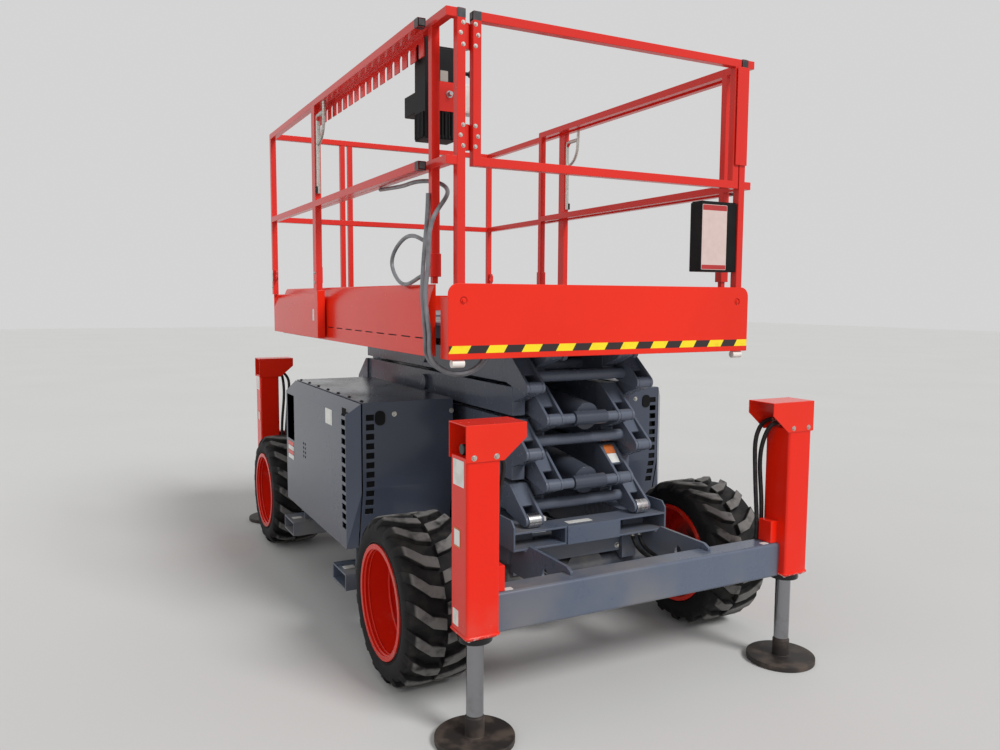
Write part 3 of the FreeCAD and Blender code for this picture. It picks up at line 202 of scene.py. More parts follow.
def enamel(name, colour, dusty_to, dust_share, gloss=0.27):
    """Sprayed enamel: fine orange peel, slight clouding, dust below a height and on upper faces."""
    material, shader, place, facing = surface(name, SPRAYED)
    patches = place.noise(4.0, 6.0).clear_of(0.36, 0.70)
    low = 1 - place.axis(2).clear_of(0.05, dusty_to)
    upper = facing.axis(2).clear_of(0.75, 0.98)
    dust = (low * 0.75 + upper * 0.35) * patches * dust_share
    clouded = place.noise(1.1, 3.0).clear_of(0.3, 0.7).paint(shade(colour, 0.93), shade(colour, 1.05))
    dust.paint(clouded, DUST).feed(shader, "Base Color")
    scuffs = place.noise(38.0, 4.0).clear_of(0.45, 0.8)
    (dust * 0.5 + scuffs * 0.06 + gloss).feed(shader, "Roughness")
    place.noise(210.0, 2.0).bump(0.06, 0.0005).feed(shader, "Normal")
    return material


def mottled(name, constants, colours, blotch, grain, relief=None, ribs=None):
    """A finish that drifts between two colours, with grain in its shine and a fine relief.

    Each pattern opens with its noise's scale and detail. After them the blotch has the two values
    it fades between, the grain its share and the least roughness, and the relief its strength and
    depth. Ribs have a pitch, a strength and a depth.
    """
    material, shader, place, facing = surface(name, constants)
    drift = place.noise(*blotch[:2])
    if blotch[2:]:
        drift = drift.clear_of(*blotch[2:])
    drift.paint(*[srgb(*colour) for colour in colours]).feed(shader, "Base Color")
    scale, detail, share, least = grain
    (place.noise(scale, detail) * share + least).feed(shader, "Roughness")
    if relief:
        place.noise(*relief[:2]).bump(*relief[2:]).feed(shader, "Normal")
    if ribs:
        (place.axis(2) * ribs[0]).maths("SINE").bump(*ribs[1:]).feed(shader, "Normal")
    return material


record = frame["record"]
body_of = {node: body for body, members in record["behaviour"]["bodies"].items() for node in members}


def settled(piece):
    """Turns a piece's modifiers into its own plain mesh."""
    mesh = bpy.data.meshes.new_from_object(piece.evaluated_get(bpy.context.evaluated_depsgraph_get()))
    piece.modifiers.clear()
    piece.data = mesh
    return piece


def as_data(name, mesh):
    """A bmesh turned into mesh data, every face smooth."""
    for face in mesh.faces:
        face.smooth = True
    data = bpy.data.meshes.new(name)
    mesh.to_mesh(data)
    mesh.free()
    return data


def placed(name, mesh, finish, body, sharp=35.0):
    """Links a finished bmesh as one piece on its body, smooth but for its sharp edges."""
    data = as_data(name, mesh)
    data.set_sharp_from_angle(angle=math.radians(sharp))
    data.materials.append(finish)
    piece = linked(name, data)
    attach(piece, body)


SEAM, LEAST_AGREEMENT = 2e-5, 0.5
BEND_ROUNDED, BEND_SHARP, BEND_FLAT = math.radians(32.0), math.radians(40.0), math.radians(0.5)


def dressed(node, finish, edge=0.0015):
    """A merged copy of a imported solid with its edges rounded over, in its own finish."""
    mesh = bmesh.new()
    mesh.from_mesh(frame["nodes"][node].data)
    bmesh.ops.remove_doubles(mesh, verts=mesh.verts, dist=SEAM)
    bmesh.ops.dissolve_limit(mesh, angle_limit=BEND_FLAT, verts=mesh.verts, edges=mesh.edges)
    data = as_data(node + "_dressed", mesh)
    data.materials.append(finish)
    piece = linked(node + "_dressed", data)
    if edge:
        rounding = piece.modifiers.new("rounded edges", "BEVEL")
        rounding.width = edge
        rounding.segments = 2
        rounding.angle_limit = BEND_ROUNDED
        rounding.use_clamp_overlap = False
        rounding.miter_outer = "MITER_SHARP"
    else:
        data.set_sharp_from_angle(angle=BEND_SHARP)
    weighting = piece.modifiers.new("flat faces stay flat", "WEIGHTED_NORMAL")
    weighting.keep_sharp = True
    data = settled(piece).data
    shading = []
    for face in data.polygons:
        corners = [data.corner_normals[corner].vector.copy() for corner in face.loop_indices]
        shading += [corner if corner.dot(face.normal) > LEAST_AGREEMENT else face.normal.copy()
                    for corner in corners]
    data.normals_split_custom_set(shading)
    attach(piece, body_of[node])
    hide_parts(node)


class Repeats:
    """The node tree of a part that is repeated: its named inputs and the nodes after them."""

    def __init__(self, name, inputs):
        self.tree = bpy.data.node_groups.new(name, "GeometryNodeTree")
        self.sockets = {}
        for label, kind in inputs.items():
            made = self.tree.interface.new_socket(label, in_out="INPUT", socket_type="NodeSocket" + kind)
            self.sockets[label] = made.identifier
        self.tree.interface.new_socket("Pieces", in_out="OUTPUT", socket_type="NodeSocketGeometry")
        self.given = self.tree.nodes.new("NodeGroupInput").outputs

    def add(self, kind, sockets, **settings):
        """Adds a node: its settings first, then the values or links of its sockets."""
        made = self.tree.nodes.new(kind)
        for name, value in settings.items():
            setattr(made, name, value)
        for key, value in sockets.items():
            if isinstance(value, bpy.types.NodeSocket):
                self.tree.links.new(value, made.inputs[key])
            else:
                made.inputs[key].default_value = value
        return made.outputs[0]

    def finish(self, pieces):
        """Ends the tree with the pieces in the given finish."""
        finished = self.add("GeometryNodeSetMaterial", {"Geometry": pieces, "Material": self.given["Finish"]})
        self.tree.links.new(finished, self.tree.nodes.new("NodeGroupOutput").inputs[0])

    def grown(self, name, seeds, values):
        """The plain mesh that the tree makes of the seeds and the inputs' values."""
        piece = linked(name, seeds)
        modifier = piece.modifiers.new(name, "NODES")
        modifier.node_group = self.tree
        for label, value in values.items():
            modifier[self.sockets[label]] = value
        return settled(piece)


def bolt_tree():
    """Bolt heads on points: a thin washer and a tapered head, turned to each point's facing."""
    tree = Repeats("bolt_heads", {"Places": "Geometry", "Head radius": "Float", "Head height": "Float",
                                  "Head sides": "Int", "Finish": "Material"})
    radius, height = tree.given["Head radius"], tree.given["Head height"]
    wide, thin, narrow = [tree.add("ShaderNodeMath", {0: size, 1: share}, operation="MULTIPLY")
                          for size, share in ((radius, 1.35), (height, 0.3), (radius, 0.74))]
    washer = tree.add("GeometryNodeMeshCylinder", {"Vertices": 16, "Radius": wide, "Depth": thin})
    head = tree.add("GeometryNodeMeshCone", {"Vertices": tree.given["Head sides"], "Radius Top": narrow,
                                             "Radius Bottom": radius, "Depth": height})
    bolt = tree.add("GeometryNodeJoinGeometry", {0: washer})
    tree.tree.links.new(head, bolt.node.inputs[0])
    facing = tree.add("GeometryNodeInputNamedAttribute", {"Name": "facing"}, data_type="FLOAT_VECTOR")
    turned = tree.add("FunctionNodeAlignRotationToVector", {"Vector": facing}, axis="Z")
    spread = tree.add("GeometryNodeInstanceOnPoints", {"Points": tree.given["Places"], "Instance": bolt,
                                                       "Rotation": turned})
    tree.finish(tree.add("GeometryNodeRealizeInstances", {0: spread}))
    return tree


bolt_heads = bolt_tree()
BOLT_SIDES = 12


def bolts(name, body, finish, places, radius, height, sides=BOLT_SIDES):
    """One piece of bolt heads on (place, facing) pairs."""
    seeds = bpy.data.meshes.new(name)
    seeds.from_pydata([place for place, facing in places], [], [])
    facings = seeds.attributes.new("facing", "FLOAT_VECTOR", "POINT")
    for index, (place, facing) in enumerate(places):
        facings.data[index].vector = facing
    piece = bolt_heads.grown(name, seeds, {"Head radius": radius, "Head height": height,
                                           "Head sides": sides, "Finish": finish})
    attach(piece, body)


def rounded(half_x, half_y, reach, steps):
    """The outline of a rectangle whose corners are swept by a reach about (half_x, half_y)."""
    for quarter, (sign_x, sign_y) in enumerate(((1, 1), (-1, 1), (-1, -1), (1, -1))):
        for step in range(steps):
            turn = math.pi / 2 * (quarter + step / (steps - 1))
            yield sign_x * half_x + reach * math.cos(turn), sign_y * half_y + reach * math.sin(turn)


def joined(mesh, loops):
    """The faces between each loop of corners and the next."""
    return [mesh.faces.new((near[corner - 1], near[corner], far[corner], far[corner - 1]))
            for near, far in zip(loops, loops[1:]) for corner in range(len(near))]


def plates(name, body, finish, sheets, thick=0.001, corner=0.004):
    """Thin round-cornered plates on (centre, across, up, width, height) places, facing across x up."""
    mesh = bmesh.new()
    for centre, across, up, width, height in sheets:
        centre, across, up = Vector(centre), Vector(across).normalized(), Vector(up).normalized()
        out = across.cross(up) * thick
        turned = min(corner, width / 2.1, height / 2.1)
        outline = [centre + across * x + up * y
                   for x, y in rounded(width / 2 - turned, height / 2 - turned, turned, 4)]
        low = [mesh.verts.new(point) for point in outline]
        high = [mesh.verts.new(point + out) for point in outline]
        mesh.faces.new(high)
        mesh.faces.new(reversed(low))
        joined(mesh, (low, high))
    placed(name, mesh, finish, body)


slate_enamel = enamel("slate_enamel", SLATE, 0.75, 0.8)
for node in ("chassis_rails", "cross_members", "side_trays", "fork_pockets", "rear_member", "side_plates"):
    dressed(node, slate_enamel)

zinc = mottled("zinc_plate", {"Metallic": 0.9}, ((214, 212, 205), (170, 168, 160)),
               (160.0, 4.0, 0.3, 0.75), (160.0, 4.0, 0.3, 0.2), (160.0, 4.0, 0.1, 0.0003))
white_plate = mottled("white_plate", {"Coat Weight": 0.2}, ((236, 236, 232), (216, 214, 208)),
                      (22.0, 4.0, 0.35, 0.75), (60.0, 3.0, 0.2, 0.28), (120.0, 2.0, 0.05, 0.0004))

X, Y, Z = Vector((1, 0, 0)), Vector((0, 1, 0)), Vector((0, 0, 1))
CORNERS = [(side, end) for side in (-1, 1) for end in (-1, 1)]
plates("chassis_blank_plates", "chassis", white_plate,
       [((-0.045, -1.215, 0.5927), X, Y, 0.12, 0.036)]
       + [((side * 0.815, end * 0.480, 0.291), X, Y, 0.052, 0.040) for side, end in CORNERS])
plates("beam_blank_plates", "chassis", white_plate,
       [((side * 0.600, end * 1.625, 0.520), X, Y, 0.034, 0.024) for side, end in CORNERS])
bolts("rear_plate_bolts", "chassis", zinc,
      [((side * 0.215, -1.1315, z), -Y) for side in (-1, 1) for z in (0.432, 0.480)], 0.009, 0.007, 6)

SLEEVE_PARTS = ((6, 1.0, 0.0, 0.62), (16, 0.84, 0.62, 1.0), (16, 1.05, -0.04, 0.06))


def hose_fittings(name, runs, radius):
    """Hose fittings on (start, end) runs: a hexagon, a round neck and a collar at the start."""
    mesh = bmesh.new()
    for start, end in runs:
        along = Vector(end) - Vector(start)
        turn = along.to_track_quat("Z", "Y").to_matrix().to_4x4()
        for sides, share, low, high in SLEEVE_PARTS:
            middle = Matrix.Translation(Vector(start) + along * (low + high) / 2)
            bmesh.ops.create_cone(mesh, cap_ends=True, segments=sides, radius1=radius * share,
                                  radius2=radius * share, depth=along.length * (high - low),
                                  matrix=middle @ turn)
    placed(name, mesh, zinc, "chassis")


hose_fittings("member_hose_fittings",
              [((side * x, -1.2, 0.515), (side * x, -1.2, 0.489))
               for side in (-1, 1) for x in (0.250, 0.285)], 0.0135)

# Axles: two cast beams with a differential, knuckles on kingpins at the front, and a tie rod.
# The same slate enamel, thick with road dust because nothing shelters them.

WHEEL_X, WHEEL_Y, WHEEL_Z = 0.7235, 1.068, 0.332
axle_enamel = enamel("axle_enamel", srgb(62, 67, 78), 0.9, 1.3, 0.4)
for node in ("axles", "knuckle_left", "knuckle_right", "tie_rod"):
    dressed(node, axle_enamel)
bolts("fork_ear_bolts", "chassis", zinc,
      [((side * 0.600, WHEEL_Y + y, 0.424), Z) for side in (-1, 1) for y in (-0.018, 0.018)],
      0.006, 0.005, 6)

# Tyres: black lug tyres, one eighteenth of a carcass with its two bars repeated round the axle.
# The bars' tops and the shoulders carry pale road dust, the grooves stay dark. A bar's stations
# give its crest's place across and along the tread and its radius, then its foot's place across
# and its radius.

TYRE_R = 0.332
LUG_COUNT, CARCASS_STEPS = 18, 4
CARCASS = (
    (0.1442, 0.2170), (0.1442, 0.2290), (0.1490, 0.2330), (0.1462, 0.2385), (0.1502, 0.2480),
    (0.1523, 0.2600), (0.1525, 0.2720), (0.1508, 0.2860), (0.1450, 0.2980), (0.1350, 0.3050),
    (0.0700, 0.3060))
LUG_STATIONS = (
    (0.0030, 0.0000, 0.3300, 0.0030, 0.300), (0.0300, 0.0080, 0.3318, 0.0300, 0.300),
    (0.0580, 0.0160, 0.3320, 0.0580, 0.300), (0.0900, 0.0430, 0.3320, 0.0880, 0.300),
    (0.1165, 0.0650, 0.3318, 0.1120, 0.298), (0.1360, 0.0815, 0.3190, 0.1280, 0.290),
    (0.1500, 0.0925, 0.2980, 0.1400, 0.280), (0.1522, 0.0945, 0.2740, 0.1440, 0.266))
LUG_TOP_HALF, LUG_FOOT_HALF, LUG_EDGE = 0.0215, 0.0275, 0.0028


def round_axle(x, along, radius):
    """A point at an arc length along the tread and a radius, about the X axis."""
    turn = along / TYRE_R
    return Vector((x, radius * math.sin(turn), radius * math.cos(turn)))


def tyre_sector():
    """One lug pitch of the tyre: a slice of the closed carcass and one bar on each side."""
    mesh = bmesh.new()
    profile = list(CARCASS) + [(-x, radius) for x, radius in reversed(CARCASS)]
    pitch = 2 * math.pi / LUG_COUNT
    rings = []
    for step in range(CARCASS_STEPS + 1):
        turn = (step / CARCASS_STEPS - 0.5) * pitch
        rings.append([mesh.verts.new((x, r * math.sin(turn), r * math.cos(turn))) for x, r in profile])
    joined(mesh, rings[::-1])
    for side, stagger in ((1, 0.0), (-1, math.pi * TYRE_R / LUG_COUNT)):
        sections = []
        for x, along, crest, foot_x, foot in LUG_STATIONS:
            corners = ((foot_x, -LUG_FOOT_HALF, foot), (x, -LUG_TOP_HALF, crest),
                       (x, LUG_TOP_HALF, crest), (foot_x, LUG_FOOT_HALF, foot))
            sections.append([mesh.verts.new(round_axle(side * cx, along + across + stagger, r))
                             for cx, across, r in corners])
        lug_faces = [mesh.faces.new(sections[0]), mesh.faces.new(reversed(sections[-1]))]
        lug_faces += joined(mesh, sections[::-1])
        if side < 0:
            bmesh.ops.reverse_faces(mesh, faces=lug_faces)
        crests = [edge for face in lug_faces for edge in face.edges
                  if any(v in section[1:3] for section in sections for v in edge.verts)
                  and edge.calc_face_angle(0.0) > math.radians(30.0)]
        bmesh.ops.bevel(mesh, geom=list(set(crests)), offset=LUG_EDGE, segments=2, profile=0.6,
                        affect="EDGES")
    return mesh


def ring_tree():
    """Turns copies of a sector about the X axis until they close the ring, then welds the seams."""
    tree = Repeats("round_the_axle", {"Sector": "Geometry", "Count": "Int", "Centre": "Vector",
                                      "Finish": "Material"})
    points = tree.add("GeometryNodePoints", {"Count": tree.given["Count"]})
    index = tree.add("GeometryNodeInputIndex", {})
    share = tree.add("ShaderNodeMath", {0: index, 1: tree.given["Count"]}, operation="DIVIDE")
    turn = tree.add("ShaderNodeMath", {0: share, 1: 2 * math.pi}, operation="MULTIPLY")
    about = tree.add("FunctionNodeEulerToRotation", {0: tree.add("ShaderNodeCombineXYZ", {"X": turn})})
    spread = tree.add("GeometryNodeInstanceOnPoints", {"Points": points, "Instance": tree.given["Sector"],
                                                       "Rotation": about})
    real = tree.add("GeometryNodeRealizeInstances", {0: spread})
    welded = tree.add("GeometryNodeMergeByDistance", {"Geometry": real, "Distance": SEAM})
    tree.finish(tree.add("GeometryNodeTransform", {"Geometry": welded, "Translation": tree.given["Centre"]}))
    return tree


def from_axle(place):
    """How far each point lies from its wheel's axle."""
    fore = place.axis(1).maths("ABSOLUTE") - WHEEL_Y
    height = place.axis(2) - WHEEL_Z
    return (fore * fore + height * height).maths("SQRT")


tyre_rubber, shader, place, facing = surface("dusty_tyre_rubber", {"Specular IOR Level": 0.2})
radius = from_axle(place)
across = (place.axis(0).maths("ABSOLUTE") - WHEEL_X).maths("ABSOLUTE")
scatter = place.noise(16.0, 6.0)
worn = radius.clear_of(0.3225, 0.3300) * scatter.clear_of(0.26, 0.58)
grooves = radius.clear_of(0.297, 0.305) * scatter.clear_of(0.42, 0.72) * 0.45
flanks = across.clear_of(0.138, 0.150) * scatter.clear_of(0.46, 0.80) * 0.4
rubber = worn.paint(srgb(23, 22, 23), srgb(128, 126, 124))
rubber = grooves.paint(rubber, srgb(72, 69, 66))
flanks.paint(rubber, srgb(48, 46, 45)).feed(shader, "Base Color")
(scatter * 0.3 + worn * 0.15 + 0.5).feed(shader, "Roughness")
(place.noise(90.0, 4.0) + scatter * 0.6).bump(0.3, 0.0015).feed(shader, "Normal")

round_the_axle = ring_tree()
SIDES = (("left", -1), ("right", 1))
WHEELS = [(end_name + "_" + side_name, side, end)
          for end_name, end in (("rear", -1), ("front", 1)) for side_name, side in SIDES]
for wheel, side, end in WHEELS:
    node = "tyre_" + wheel
    piece = round_the_axle.grown(node + "_lugged", as_data(node + "_lugged", tyre_sector()), {
        "Count": LUG_COUNT, "Centre": (side * WHEEL_X, end * WHEEL_Y, WHEEL_Z), "Finish": tyre_rubber})
    piece.data.set_sharp_from_angle(angle=math.radians(38.0))
    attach(piece, body_of[node])
    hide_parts(node)

# Rims: deep-dished steel discs in gloss red, with a ring of wheel nuts and a hub cap.
# The dish is painted a darker red towards the hub: painted shade in the deep dish.

RIM_RED = srgb(222, 38, 18)
DISC_X, NUT_RING, NUT_COUNT = 0.6955, 0.096, 8
CAP_X, CAP_RING, CAP_BOLTS = 0.720, 0.044, 6
GLOSSY = {**SPRAYED, "Coat Roughness": 0.1}
rim_enamel, shader, place, facing = surface("rim_enamel", GLOSSY)
# Painted shade: a darker red towards the hub, broken up by noise; the same mask also roughens the paint
# there.
painted_hub_shade = (1 - from_axle(place).clear_of(0.07, 0.15)) * place.noise(24.0, 5.0).clear_of(0.25, 0.6)
road = place.noise(9.0, 6.0).clear_of(0.52, 0.82) * 0.5
red = place.noise(2.0, 2.0).paint(shade(RIM_RED, 0.92), RIM_RED)
painted_hub_shade.paint(road.paint(red, DUST), srgb(92, 20, 14)).feed(shader, "Base Color")
(painted_hub_shade * 0.2 + road * 0.4 + 0.22).feed(shader, "Roughness")
place.noise(180.0, 2.0).bump(0.08, 0.0006).feed(shader, "Normal")


def turns(count, first=0.0):
    """Equal turns that close a circle."""
    return [first + 2 * math.pi * step / count for step in range(count)]


def spoke(turn):
    """The direction away from a wheel's axle at a turn."""
    return Vector((0, math.cos(turn), math.sin(turn)))


BARREL_RIDGES = ((0.1380, 0.2075, 0.0060), (0.1220, 0.2066, 0.0040), (0.0330, 0.2062, 0.0070))
RIDGE_STEPS, RIDGE_SIDES = 72, 8


def rolled_ridges(name, body, hub, side):
    """Half-round ridges rolled into a rim's barrel, each at a place across, a radius and a thickness."""
    mesh = bmesh.new()
    for x, radius, thick in BARREL_RIDGES:
        loops = [[mesh.verts.new(hub + X * (side * x + thick * math.cos(tilt))
                                 + spoke(turn) * (radius + thick * math.sin(tilt)))
                  for tilt in turns(RIDGE_SIDES)] for turn in turns(RIDGE_STEPS)]
        joined(mesh, loops + loops[:1])
    bmesh.ops.recalc_face_normals(mesh, faces=mesh.faces)
    placed(name, mesh, rim_enamel, body, 80.0)


for wheel, side, end in WHEELS:
    hub, disc, cap = [Vector((side * x, end * WHEEL_Y, WHEEL_Z)) for x in (WHEEL_X, DISC_X, CAP_X)]
    dressed("rim_" + wheel, rim_enamel)
    rolled_ridges("rim_ridges_" + wheel, "wheel_" + wheel, hub, side)
    bolts("wheel_nuts_" + wheel, "wheel_" + wheel, zinc,
          [(disc + spoke(turn) * NUT_RING, X * side) for turn in turns(NUT_COUNT, math.pi / NUT_COUNT)],
          0.0105, 0.014, 6)
    bolts("hub_bolts_" + wheel, "wheel_" + wheel, zinc,
          [(cap + spoke(turn) * CAP_RING, X * side) for turn in turns(CAP_BOLTS)] + [(cap, X * side)],
          0.0065, 0.005, 6)

# Outriggers: slate cross beams, bright orange-red square legs with folded hoods, two black
# hoses inside each leg, and chromed rams standing on round cast pads.

LEG_RED = srgb(238, 34, 8)
LEG_X, LEG_Y, LEG_HALF_X, LEG_HALF_Y = 0.723, 1.6195, 0.062, 0.064
LEG_FOOT, LEG_TOP = 0.384, 1.0003
NECK_TOP, HOOD_FACE = 0.098, 1.6885

leg_enamel, shader, place, facing = surface("leg_enamel", GLOSSY)
height = place.axis(2)
patches = place.noise(6.0, 6.0).clear_of(0.40, 0.75)
dust = (1 - height.clear_of(0.38, 0.60)) * patches * 0.16
dust = dust + facing.axis(2).clear_of(0.8, 0.98) * patches * 0.08
scraped = (1 - height.clear_of(0.386, 0.398)) * place.noise(60.0, 4.0).clear_of(0.50, 0.58)
metal_end = 1 - height.clear_of(LEG_FOOT - 0.0006, LEG_FOOT + 0.0004)
metal_end = metal_end + height.clear_of(LEG_TOP, LEG_TOP + 0.002) * (1 - height.clear_of(1.0405, 1.0415))
red = place.noise(1.6, 2.0).paint(shade(LEG_RED, 0.94), LEG_RED)
red = scraped.paint(dust.paint(red, DUST), srgb(236, 196, 186))
metal_end.paint(red, srgb(24, 24, 26)).feed(shader, "Base Color")
(dust * 0.5 + place.noise(40.0, 4.0).clear_of(0.5, 0.8) * 0.07 + 0.2).feed(shader, "Roughness")
(place.noise(200.0, 2.0) - scraped * 0.5).bump(0.07, 0.0005).feed(shader, "Normal")

board_red = enamel("board_enamel", srgb(234, 42, 18), 0.3, 0.12, 0.22)
dressed("outrigger_beams", slate_enamel, 0.0012)
dressed("outrigger_legs", leg_enamel, 0.004)
dressed("leg_caps", board_red, 0.0018)

ram_metal, shader, place, facing = surface("chromed_ram_on_cast_pad", {})
height = place.axis(2)
cast = 1 - height.clear_of(NECK_TOP - 0.002, NECK_TOP + 0.001)
soil = place.noise(14.0, 6.0)
film = (1 - height.clear_of(0.10, 0.36)) * soil.clear_of(0.45, 0.75) * 0.5
iron = soil.clear_of(0.40, 0.70).paint(srgb(44, 39, 37), srgb(82, 70, 62))
chrome = film.paint(srgb(150, 151, 155), srgb(104, 99, 93))
cast.paint(chrome, iron).feed(shader, "Base Color")
(1 - cast * 0.85 - film * 0.5).feed(shader, "Metallic")
(cast * 0.52 + film * 0.3 + 0.09).feed(shader, "Roughness")
(soil * cast).bump(0.35, 0.002).feed(shader, "Normal")
for wheel, side, end in WHEELS:
    dressed("ram_" + wheel, ram_metal, 0.0025)

LEG_CORNER_R, BEAD_R, BEAD_SIDES = 0.010, 0.0055, 8
beads = bmesh.new()
for side, end in CORNERS:
    loops = []
    for tilt in turns(BEAD_SIDES):
        outline = rounded(LEG_HALF_X - LEG_CORNER_R, LEG_HALF_Y - LEG_CORNER_R,
                          LEG_CORNER_R + BEAD_R * math.cos(tilt), 5)
        height = LEG_FOOT + 0.010 + BEAD_R * math.sin(tilt)
        loops.append([beads.verts.new((side * LEG_X + x, end * LEG_Y + y, height)) for x, y in outline])
    joined(beads, loops + loops[:1])
bmesh.ops.recalc_face_normals(beads, faces=beads.faces)
placed("leg_foot_beads", beads, leg_enamel, "chassis", 80.0)
bolts("gland_bolts", "chassis", zinc,
      [((side * (LEG_X + x), end * (LEG_Y + y), LEG_FOOT), -Z)
       for side, end in CORNERS for x in (-0.046, 0.046) for y in (-0.048, 0.048)], 0.0065, 0.007, 6)
bolts("hood_bolts", "chassis", zinc,
      [((side * x, end * HOOD_FACE, 1.003), Y * end) for side, end in CORNERS for x in (0.678, 0.761)],
      0.0075, 0.005)

orange_plate = mottled("orange_plate", {"Coat Weight": 0.2}, ((206, 108, 40), (186, 92, 36)),
                       (30.0, 4.0, 0.35, 0.7), (70.0, 3.0, 0.2, 0.3), (130.0, 2.0, 0.05, 0.0004))


def leg_places(y, z, width, height, proud=0.0):
    """One plate's place on the outer face of every leg."""
    return [((side * (LEG_X + LEG_HALF_X + proud), end * y, z), Y * side, Z, width, height)
            for side, end in CORNERS]


plates("leg_hand_plates", "chassis", white_plate,
       leg_places(LEG_Y, 0.944, 0.084, 0.088) + leg_places(1.596, 0.443, 0.044, 0.056))
plates("leg_pinch_plates", "chassis", orange_plate, leg_places(1.608, 0.722, 0.054, 0.066))
plates("leg_pinch_fields", "chassis", white_plate,
       leg_places(1.608, 0.722, 0.042, 0.054, 0.001), 0.0004, 0.003)

black_rubber = mottled("black_hose_cover", {"Specular IOR Level": 0.4}, ((22, 22, 23), (52, 50, 48)),
                       (70.0, 4.0, 0.4, 0.8), (70.0, 4.0, 0.35, 0.38), ribs=(900.0, 0.12, 0.0008))
dressed("leg_hoses", black_rubber, 0)
hose_fittings("leg_hose_fittings",
              [((side * x, end * y, z), (side * inner_x, end * inner_y, z)) for side, end in CORNERS
               for x, y, inner_x, inner_y, z in ((0.6862, LEG_Y, 0.664, LEG_Y, 1.0203),
                                                 (0.6870, 1.5970, 0.660, 1.586, 1.0232))], 0.0130)

# Side covers: folded slate sheet with chamfered tops, wide doors outside, cooling slots and a
# black latch at the rear, and the engine and tank as dark blocks behind the slots. Black sheets
# just inside the slots are painted shade, for the dark seen through them.

cover_enamel = enamel("cover_enamel", srgb(76, 83, 98), 0.62, 0.45, 0.18)
for node in ("cover_left", "cover_right", "cover_door_left", "cover_door_right"):
    dressed(node, cover_enamel, 0.0012)

engine_iron = mottled("oily_engine_iron", {"Metallic": 0.3}, ((34, 34, 36), (66, 62, 58)),
                      (11.0, 6.0, 0.35, 0.7), (11.0, 6.0, 0.5, 0.25), (11.0, 6.0, 0.4, 0.003))
dressed("engine_and_tank", engine_iron, 0.004)
black_plastic = mottled("moulded_black_plastic", {"Specular IOR Level": 0.18}, ((13, 13, 15), (28, 27, 28)),
                        (8.0, 4.0, 0.45, 0.8), (320.0, 3.0, 0.2, 0.42), (320.0, 3.0, 0.25, 0.0006))
# Painted shade: a black finish for sheets set just inside the cooling slots, so the slots read dark.
painted_shade_sheet = mottled("black_painted_shade", {"Specular IOR Level": 0.15}, ((12, 12, 13), (26, 26, 27)),
                 (90.0, 3.0), (30.0, 2.0, 0.2, 0.7))
COVER_TOP, COVER_REAR_Y, DOOR_FACE, PAINTED_SHADE_DEPTH = 1.068, -0.661, 0.860, 0.0054
WINDOW_Y, WINDOW_Z = (0.316, 0.476), (0.750, 1.001)
GUARD_PITCH, GUARD_DEPTH, GUARD_LAYER = 0.012, 0.007, 0.0008
STRAND_HALF_WIDTH, STRAND_HALF_THICK = 0.0011, 0.0006


def guard_weave(name, body, side):
    """A black expanded-metal guard behind a door's window: two layers of slanting strands."""
    mesh = bmesh.new()
    width, height = WINDOW_Y[1] - WINDOW_Y[0], WINDOW_Z[1] - WINDOW_Z[0]
    for lean in (1, -1):
        x = side * (DOOR_FACE - GUARD_DEPTH - GUARD_LAYER * lean)
        for index in range(1, int((width + height) / GUARD_PITCH)):
            run = index * GUARD_PITCH
            low = (run, 0.0) if run < width else (width, run - width)
            high = (0.0, run) if run < height else (run - height, height)
            ends = [Vector((x, WINDOW_Y[0] + y if lean > 0 else WINDOW_Y[1] - y, WINDOW_Z[0] + z))
                    for y, z in (low, high)]
            across = (ends[1] - ends[0]).normalized().cross(X) * STRAND_HALF_WIDTH
            rise = X * STRAND_HALF_THICK
            loops = [[mesh.verts.new(end + across * a + rise * b) for a, b in SQUARE] for end in ends]
            mesh.faces.new(loops[0])
            mesh.faces.new(reversed(loops[1]))
            joined(mesh, loops)
    bmesh.ops.recalc_face_normals(mesh, faces=mesh.faces)
    placed(name, mesh, black_plastic, body)


for side_name, side in SIDES:
    door = "door_" + side_name
    bolts("cover_edge_bolts_" + side_name, "chassis", black_plastic,
          [((side * 0.785, -0.60 + 0.175 * step, COVER_TOP), Z) for step in range(7)], 0.0075, 0.005)
    bolts("cover_panel_bolts_" + side_name, "chassis", zinc,
          [((side * x, COVER_REAR_Y, 1.012), -Y) for x in (0.655, 0.380)], 0.0085, 0.005)
    plates("cover_latch_" + side_name, "chassis", black_plastic,
           [((side * 0.722, COVER_REAR_Y, 0.998), X, Z, 0.046, 0.064)], 0.005, 0.020)
    # Painted shade: black sheets a few millimetres inside the rear slots, the lower slanted apron and the
    # door openings.
    plates("cover_painted_shade_" + side_name, "chassis", painted_shade_sheet,
           [((side * 0.7665, COVER_REAR_Y + PAINTED_SHADE_DEPTH, 0.860), X, Z, 0.050, 0.330),
            ((side * 0.7665, -0.640, 0.628), X, Vector((0, -60, 278)), 0.050, 0.140)], 0.0003, 0.002)
    plates("door_painted_shade_" + side_name, door, painted_shade_sheet,
           [((side * (DOOR_FACE - PAINTED_SHADE_DEPTH), -0.568, 0.765), Y * side, Z, 0.064, 0.548),
            ((side * (DOOR_FACE - PAINTED_SHADE_DEPTH), 0.110, 0.742), Y * side, Z, 0.072, 0.096)], 0.0003, 0.002)
    guard_weave("window_guard_" + side_name, door, side)
    bands = [((side * DOOR_FACE, 0.396, z), Y * side, Z, 0.115, 0.022) for z in (0.730, 0.706, 0.682, 0.658)]
    plates("door_blank_plate_" + side_name, door, white_plate,
           [((side * DOOR_FACE, -0.345, 0.973), Y * side, Z, 0.108, 0.072)] + bands[1::2])
    plates("door_red_plate_" + side_name, door, board_red, bands[::2])
# Scissor stack: five pairs of box arms in slate enamel, pinned at their ends and middles,
# with bright rollers on the lowest arm and two lift cylinders with chromed rods.

